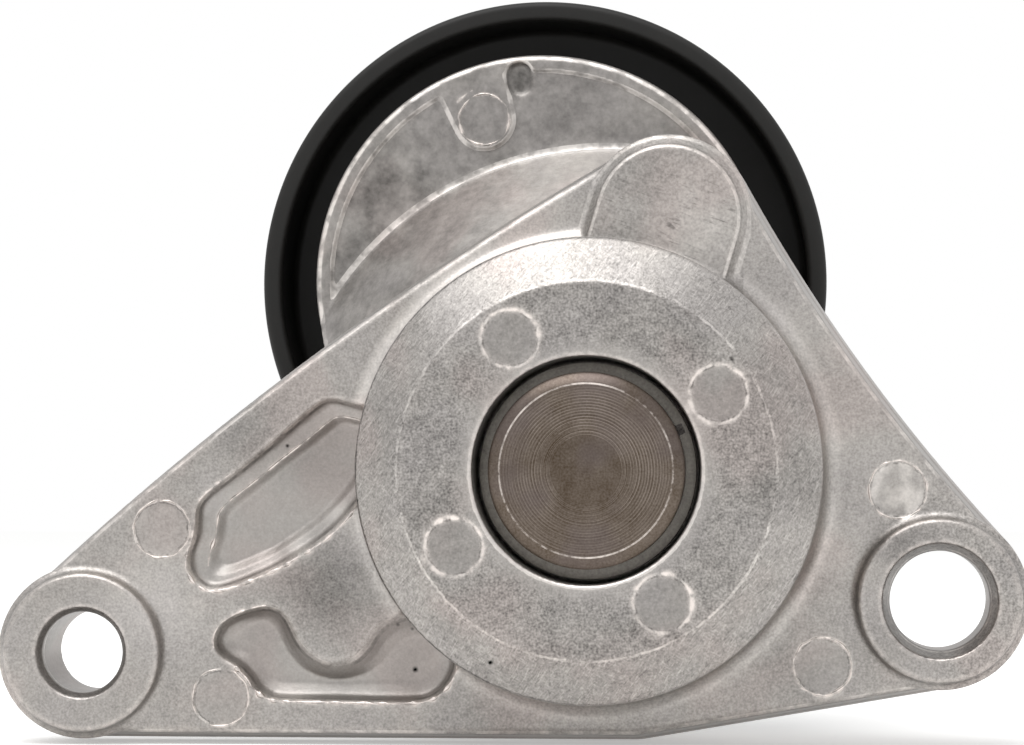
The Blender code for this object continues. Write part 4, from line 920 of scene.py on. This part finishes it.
# Oil-tempered spring wire: blue-black scale, faintly streaked, slightly shiny.
spring_wire = spots(
    "oil_tempered_wire", ("#2b2c30", "#4a4b50"), ((0.4, 2.0, 1.0), (2.5, 2.0, 1.0)),
    metallic=1.0, rough=0.4, swing=0.12, height=0.3, depth=0.02,
)
spring.data.materials.clear()
spring.data.materials.append(spring_wire)
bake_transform(spring)
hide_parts("torsion_spring")


# Tensioner arm
# The second aluminium die casting: a round flange on the bracket, a cone that rises from it and a
# disc behind the pulley, with a lip round its rim, a pad, and a hollow with five ribs in front.
ARM_TURN = 108.7
ARM_LENGTH = 25.0 * mm
PULLEY_AXIS = polar((0.0, 0.0), ARM_LENGTH, math.radians(ARM_TURN))
DISC_R = 27.7 * mm
LIP = 1.95 * mm
ARM_VOXEL = 0.28 * mm


def arm_outline(inset):
    """Outline round the pivot and the pulley axis, in metres."""
    ends = ((0.0, 0.0, 28.0 * mm - inset), (*PULLEY_AXIS, DISC_R - inset))
    return belt(ends, (STRAIGHT, STRAIGHT), 0.0, 96)


cone = [(0, 15.1), (28.7, 15.1), (29.0, 15.4), (29.0, 17.2), (29.25, 17.8), (39.5, 30.98)]
cone += [(40.0, 31.2), (40.6, 31.25), (40.6, 33.4), (0, 33.4)]
arm = solid("arm_casting", turned(cone))
trim = solid("trim", skinned([(arm_outline(0.35 * mm), 17.5 * mm), (arm_outline(0.08 * mm), 34.3 * mm)]))
joined(trim, solid("flange_room", turned([(0, 14), (30, 14), (30, 18.5), (0, 18.5)])), "UNION")
joined(arm, trim, "INTERSECT")

disc_levels = ((31.0, 0.75), (31.08, 0.45), (31.3, 0.2), (31.7, 0.06), (32.2, 0.0), (34.2, 0.0), (34.5, 0.3))
disc = solid("disc", skinned([(arm_outline(inset * mm), depth * mm) for depth, inset in disc_levels]))
PAD_TURN = math.radians(109.2)
PAD_CENTRE = polar(PULLEY_AXIS, 20.9 * mm, PAD_TURN)
pad_ends = ((*PAD_CENTRE, 3.6 * mm), (*polar(PULLEY_AXIS, 26.0 * mm, PAD_TURN), 4.2 * mm))
lip_r = (DISC_R - LIP) / mm
recess = [(0, 29), (lip_r + 1.6, 29), (lip_r + 0.1, 31.0), (lip_r - 0.3, 31.32), (0, 31.32)]
recess = solid("recess", turned(recess, PULLEY_AXIS))
arm_pad = drafted(pad_ends, (STRAIGHT, STRAIGHT), ((28.0, -1.4), (31.0, -0.1), (31.32, 0.25), (32.5, 0.6)))
joined(recess, solid("arm_pad", arm_pad), "DIFFERENCE")
notch_ends = [(*polar(PULLEY_AXIS, out * mm, math.radians(95.8)), 1.6 * mm) for out in (24.3, 25.3)]
notch = drafted(notch_ends, (STRAIGHT, STRAIGHT), ((28.5, 0.9), (31.0, 0.15), (31.7, -0.3)))
joined(recess, solid("arm_notch", notch), "UNION")
joined(disc, recess, "DIFFERENCE")

pulley_boss = solid("boss_room", turned([(0, 18), (13.2, 18), (13.2, 38), (0, 38)], PULLEY_AXIS))
hollow = solid("hollow", turned([(0, 20), (22, 20), (23.5, 35.5), (0, 35.5)]))
joined(hollow, pulley_boss, "DIFFERENCE")
joined(hollow, solid("shaft_bore", turned([(0, 14), (8.8, 14), (8.8, 36), (0, 36)])), "UNION")
tapped_hole = turned([(0, 28.4), (5.2, 28.4), (5.2, 56), (0, 56)], PULLEY_AXIS)
joined(hollow, solid("tapped_hole", tapped_hole), "UNION")
for item in (arm, disc):
    cutter = hollow.copy()
    scene.collection.objects.link(cutter)
    joined(item, cutter, "DIFFERENCE")
bpy.data.objects.remove(hollow)

shells = [disc, solid("pivot_boss", turned([(8.8, 19), (13, 19), (13, 34.1), (12.7, 34.4), (8.8, 34.4)]))]
spigot = [(5.2, 32), (13, 32), (13, 34.6), (11.6, 35.5), (11.6, 41.5), (8.2, 41.5), (8.2, 54.3)]
spigot += [(7.8, 54.7), (5.2, 54.7)]
shells.append(solid("spigot", turned(spigot, PULLEY_AXIS)))
for i in range(5):
    rib = block((12.5, 14.0, 3.0), (18.25, 26.0, 0.0), ARM_TURN + 72 * (i + 0.5))
    shells.append(solid("rib", rib))
stop = sector(28.4, 31.4, 82, 92)
shells.append(solid("stop_lug", skinned([(stop, 8.6 * mm), (stop, 17.2 * mm)])))
lug = sector(16.3, 21.3, 200.9, 213.9)
shells.append(solid("spring_lug", skinned([(lug, 10.2 * mm), (lug, 16.1 * mm)])))
added(arm, [shell.data for shell in shells])
for shell in shells:
    bpy.data.objects.remove(shell)
cast_skin(arm, ARM_VOXEL, 0.22, 3)
ring_at = (PAD_CENTRE[0] / mm, PAD_CENTRE[1] / mm)
added(arm, [flash_ring(ring_at, 3.1, 31.0, 0.16), flash_ring(ring_at, 3.85, 31.08, 0.09, 112, 148)])

# The same alloy, less tumbled: a darker, cloudier grey with pale rims, part rubbed wear and part painted
# highlight.
ARM_GRAIN = ((0.35, 2.0, 0.3), (1.0, 3.0, 0.55), (3.0, 3.0, 0.5), (11.0, 2.0, 0.3))


def arm_marks(tree, where, axes, tone):
    """Dark mottle low on the cone, painted light on the cone's right and painted shade in the notch; the
    sheltered disc is duller than the cone.
    """
    disc_face = node(tree, "MapRange", {"Value": axes["Y"], "From Min": 30.6, "From Max": 31.4})
    tone = node(tree, "Math", {0: disc_face, 1: -0.26, 2: tone}, operation="MULTIPLY_ADD")
    axis = (PULLEY_AXIS[0] / mm, 0.0, PULLEY_AXIS[1] / mm)
    flat = node(tree, "VectorMath", {0: where, 1: (1.0, 0.0, 1.0)}, operation="MULTIPLY")
    out = node(tree, "VectorMath", {0: flat, 1: axis}, operation="DISTANCE")
    wander = node(tree, "TexNoise", {"Vector": where, "Scale": 1 / 1.6, "Detail": 2.0})
    out = node(tree, "Math", {0: wander, 1: 0.4, 2: out}, operation="MULTIPLY_ADD")
    broken = node(tree, "MapRange", {"Value": wander, "From Min": 0.38, "From Max": 0.55, "To Min": 0.2})
    # The pad is made a little darker, and the notch gets painted shade.
    for place, start, full, swing in ((PAD_CENTRE, 4.2, 3.4, -0.1), (notch_ends[1], 2.6, 1.2, -0.2)):
        place = (place[0] / mm, 0.0, place[1] / mm)
        gone = node(tree, "VectorMath", {0: flat, 1: place}, operation="DISTANCE")
        shade = node(tree, "MapRange", {"Value": gone, "From Min": start, "From Max": full, "To Max": swing})
        tone = node(tree, "Math", {0: tone, 1: shade}, operation="ADD")
    for value, at, half, swing in ((axes["Y"], 31.14, 0.11, 0.8), (out, 27.5, 0.4, 0.4)):
        tone = lined(tree, tone, value, at, half, swing, broken)
    blot = node(tree, "TexNoise", {"Vector": where, "Scale": 1 / 3.4, "Detail": 4.0, "Roughness": 0.5})
    blot = node(tree, "MapRange", {"Value": blot, "From Min": 0.38, "From Max": 0.74, "To Max": -0.3})
    # The cone is painted lighter towards its right, as light falls on it.
    cone = node(tree, "Math", {0: axes["Y"], 1: 30.9}, operation="LESS_THAN")
    cone_painted_light = node(tree, "MapRange", {"Value": axes["X"], "From Min": -15.0, "From Max": -4.0, "To Max": 0.22})
    tone = node(tree, "Math", {0: cone, 1: cone_painted_light, 2: tone}, operation="MULTIPLY_ADD")
    low = node(tree, "MapRange", {"Value": axes["X"], "From Min": -6.0, "From Max": -22.0})
    return node(tree, "Math", {0: blot, 1: low, 2: tone}, operation="MULTIPLY_ADD")


arm_cast = cast_aluminium("die_cast_aluminium_dull", ARM_GRAIN, arm_marks, 0.46)
arm.data.materials.append(arm_cast)
arm.data.shade_smooth()
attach(arm, "arm")
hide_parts("tensioner_arm")


# Rear dust shield
# Pressed from zinc-plated sheet and clamped behind the bearing, with its rim dished back to keep
# dirt from the pulley's hub.
shield = [(8.5, 42.7), (8.5, 41.8), (17.4, 41.8), (18.6, 41.1), (19.2, 40.95), (19.2, 41.85)]
shield += [(18.7, 42.0), (17.5, 42.7)]
shield = machined("rear_dust_shield_dish", shield, PULLEY_AXIS, 0.12)
shield.data.materials.append(zinc)
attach(shield, "arm")
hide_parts("rear_dust_shield")


# Ball bearing
# A 17 x 40 x 12 deep-groove bearing: two ground rings, a pressed cage with eight balls, and a
# rubber seal on each side that turns with the outer ring.
MIDDLE = 49.0
PITCH_R = 14.25
BALL_R = 3.375


def race(edge, far, side):
    """Section of a ring whose groove wraps the balls."""
    reach = math.degrees(math.acos(abs(PITCH_R - edge) / (BALL_R + 0.3)))
    facing = 180 if side > 0 else 0
    curve = arc_profile((PITCH_R, MIDDLE), BALL_R + 0.3, facing + reach * side, facing - reach * side, 14)
    if curve[0][1] > curve[-1][1]:
        curve.reverse()
    return [(far, 55.0), (far, 43.0), (edge, 43.0), *curve, (edge, 55.0)]


# Bearing steel, hardened and ground: bright, cool and mirror-smooth with faint grinding haze.
ground_steel = spots(
    "ground_bearing_steel", ("#b3b5b7", "#c8cacc"), ((0.3, 2.0, 0.8), (3.0, 2.0, 0.8)),
    metallic=1.0, rough=0.2, swing=0.08, height=0.2, depth=0.004,
)
inner_ring = machined("bearing_inner_race", race(12.2, 8.5, 1), PULLEY_AXIS, 0.3)
inner_ring.data.materials.append(ground_steel)
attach(inner_ring, "arm")
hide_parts("bearing_inner_ring")
outer_ring = machined("bearing_outer_race", race(16.3, 20.0, -1), PULLEY_AXIS, 0.3)
outer_ring.data.materials.append(ground_steel)
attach(outer_ring, "pulley")
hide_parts("bearing_outer_ring")


def rod(segments, radius, depth):
    """Closed prism along Z, in millimetres."""
    mesh = bmesh.new()
    radii = {"radius1": radius * mm, "radius2": radius * mm}
    bmesh.ops.create_cone(mesh, cap_ends=True, segments=segments, depth=depth * mm, **radii)
    return mesh


cage = solid("bearing_cage_ring", turned(ring(13.75, 14.75, 44.4, 53.6), PULLEY_AXIS, 128))
balls = bmesh.new()
for i in range(8):
    turn = 2 * math.pi * i / 8
    x, z = polar(PULLEY_AXIS, PITCH_R * mm, turn)
    window = rod(48, BALL_R + 0.3, 6)
    across = Matrix.Rotation(math.pi / 2 - turn, 3, "Y")
    bmesh.ops.rotate(window, cent=(0, 0, 0), matrix=across, verts=window.verts)
    bmesh.ops.translate(window, vec=(x, MIDDLE * mm, z), verts=window.verts)
    joined(cage, solid("window", window), "DIFFERENCE")
    made = bmesh.ops.create_uvsphere(balls, u_segments=32, v_segments=16, radius=BALL_R * mm)
    bmesh.ops.translate(balls, vec=(x, MIDDLE * mm, z), verts=made["verts"])
smoothed(cage, 35)
cage.data.materials.append(zinc)
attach(cage, "ball_cage")
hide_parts("bearing_cage")
balls = solid("bearing_balls", balls)
balls.data.shade_smooth()
balls.data.materials.append(ground_steel)
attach(balls, "ball_cage")
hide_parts(*["ball_%d" % (i + 1) for i in range(8)])

# Nitrile rubber, moulded on a steel disc: soft black with a grey bloom.
seal_rubber = spots(
    "nitrile_rubber", ("#1b1b1b", "#2c2b2a"), ((0.4, 2.0, 0.8), (3.0, 2.0, 0.8)),
    metallic=0.0, rough=0.62, swing=0.1, height=0.3, depth=0.03,
)
for side, near, far in (("rear", 43.3, 44.1), ("front", 54.7, 53.9)):
    dip = near + math.copysign(0.18, far - near)
    profile = [(12.5, far), (12.5, near), (13.0, near), (13.3, dip), (14.9, dip), (15.2, near)]
    profile += [(16.0, near), (16.0, far)]
    seal = machined("bearing_seal_disc_" + side, profile, PULLEY_AXIS, 0.08)
    seal.data.materials.append(seal_rubber)
    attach(seal, "pulley")
    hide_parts("bearing_seal_" + side)


# Clamp washer and pulley bolt
# A zinc-plated washer and a forged M10 flanged bolt, screwed into the arm's spigot, hold the
# bearing's inner ring on its seat.
clamp = machined("clamp_washer_plate", ring(5.2, 11.5, 55.3, 56.9), PULLEY_AXIS, 0.2)
clamp.data.materials.append(zinc)
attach(clamp, "arm")
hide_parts("clamp_washer")

bolt_profile = [(0, 29.0), (3.7, 29.0), (4.9, 30.2), (4.9, 57.2), (9.6, 57.2), (9.6, 57.6), (8.0, 58.4)]
bolt_profile += [(0, 58.4)]
bolt = machined("pulley_bolt_forged", bolt_profile, PULLEY_AXIS, 0.1)
HEXAGONS = (("head", 8.0, 57.8, 61.2, "UNION"), ("socket", 3.4, 58.6, 62.2, "DIFFERENCE"))
for name, radius, low, high, way in HEXAGONS:
    six = rod(6, radius, high - low)
    bmesh.ops.rotate(six, cent=(0, 0, 0), matrix=Matrix.Rotation(math.pi / 2, 3, "X"), verts=six.verts)
    bmesh.ops.translate(six, vec=(PULLEY_AXIS[0], (low + high) / 2 * mm, PULLEY_AXIS[1]), verts=six.verts)
    if name == "head":
        ring_edges(six, 0.35)
    joined(bolt, solid(name, six), way)
smoothed(bolt, 25)
bolt.data.materials.append(zinc)
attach(bolt, "arm")
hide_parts("pulley_bolt")


# Idler pulley
# Black glass-filled nylon, injection moulded round the bearing: a flat belt rim with rounded
# edges, a web, twelve ribs on its front and a hub.
PULLEY_FILLET = 0.85
rim = arc_profile((34.15, 37.85), PULLEY_FILLET, 0, -90, 6) + arc_profile((33.3, 37.7), 0.7, -90, -180, 6)
rim_front = arc_profile((33.3, 60.3), 0.7, 180, 90, 6) + arc_profile((34.15, 60.15), PULLEY_FILLET, 90, 0, 6)
wheel_profile = rim + arc_profile((31.6, 46.5), 1.0, 0, 90, 5) + arc_profile((24.9, 46.5), 1.0, 90, 180, 5)
wheel_profile += [(23.9, 39.4), (23.5, 39.0), (20.6, 39.0), (20.3, 39.3)]
wheel_profile += [(20.3, 58.7), (20.6, 59.0), (23.5, 59.0), (23.9, 58.6)]
wheel_profile += arc_profile((24.9, 51.5), 1.0, 180, 270, 5) + arc_profile((31.6, 51.5), 1.0, 270, 360, 5)
wheel_profile += rim_front
wheel = solid("idler_pulley", turned(wheel_profile, PULLEY_AXIS, 256))
for i in range(12):
    rib = block((9.6, 7.5, 1.8), (28.25, 52.75, 0.0), 30 * (i + 0.5), PULLEY_AXIS, 0.8)
    joined(wheel, solid("rib", rib), "UNION")
smoothed(wheel, 35)
# Glass-filled nylon, moulded: charcoal black, satin, with a faint fibre streak and grey scuffs.
black_nylon = spots(
    "glass_filled_nylon", ("#121110", "#201f1d"), ((0.35, 2.0, 0.5), (2.0, 3.0, 0.7), (9.0, 2.0, 0.7)),
    metallic=0.0, rough=0.5, swing=0.14, height=0.3, depth=0.02,
)
black_nylon.node_tree.nodes["Principled BSDF"].inputs["Specular IOR Level"].default_value = 0.3
wheel.data.materials.append(black_nylon)
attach(wheel, "pulley")
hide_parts("pulley")


# Dust cap
# A moulded cap of the pulley's black nylon, pressed into its hub over the bolt to keep the
# bearing clean.
cap_profile = [(0, 61.8), (16.1, 61.8), (16.5, 61.6), (18.8, 59.3), (18.8, 56.0), (19.0, 55.7)]
cap_profile += [(19.7, 55.7), (20.0, 56.0), (20.0, 59.3), (22.0, 59.3), (22.0, 59.9), (21.8, 60.3)]
cap_profile += [(21.4, 60.5), (18.9, 60.5), (18.5, 60.7), (16.6, 62.7), (16.0, 63.0), (0, 63.0)]
cap = solid("dust_cap_cover", turned(cap_profile, PULLEY_AXIS, 192))
smoothed(cap, 35)
cap.data.materials.append(black_nylon)
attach(cap, "pulley")
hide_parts("dust_cap")
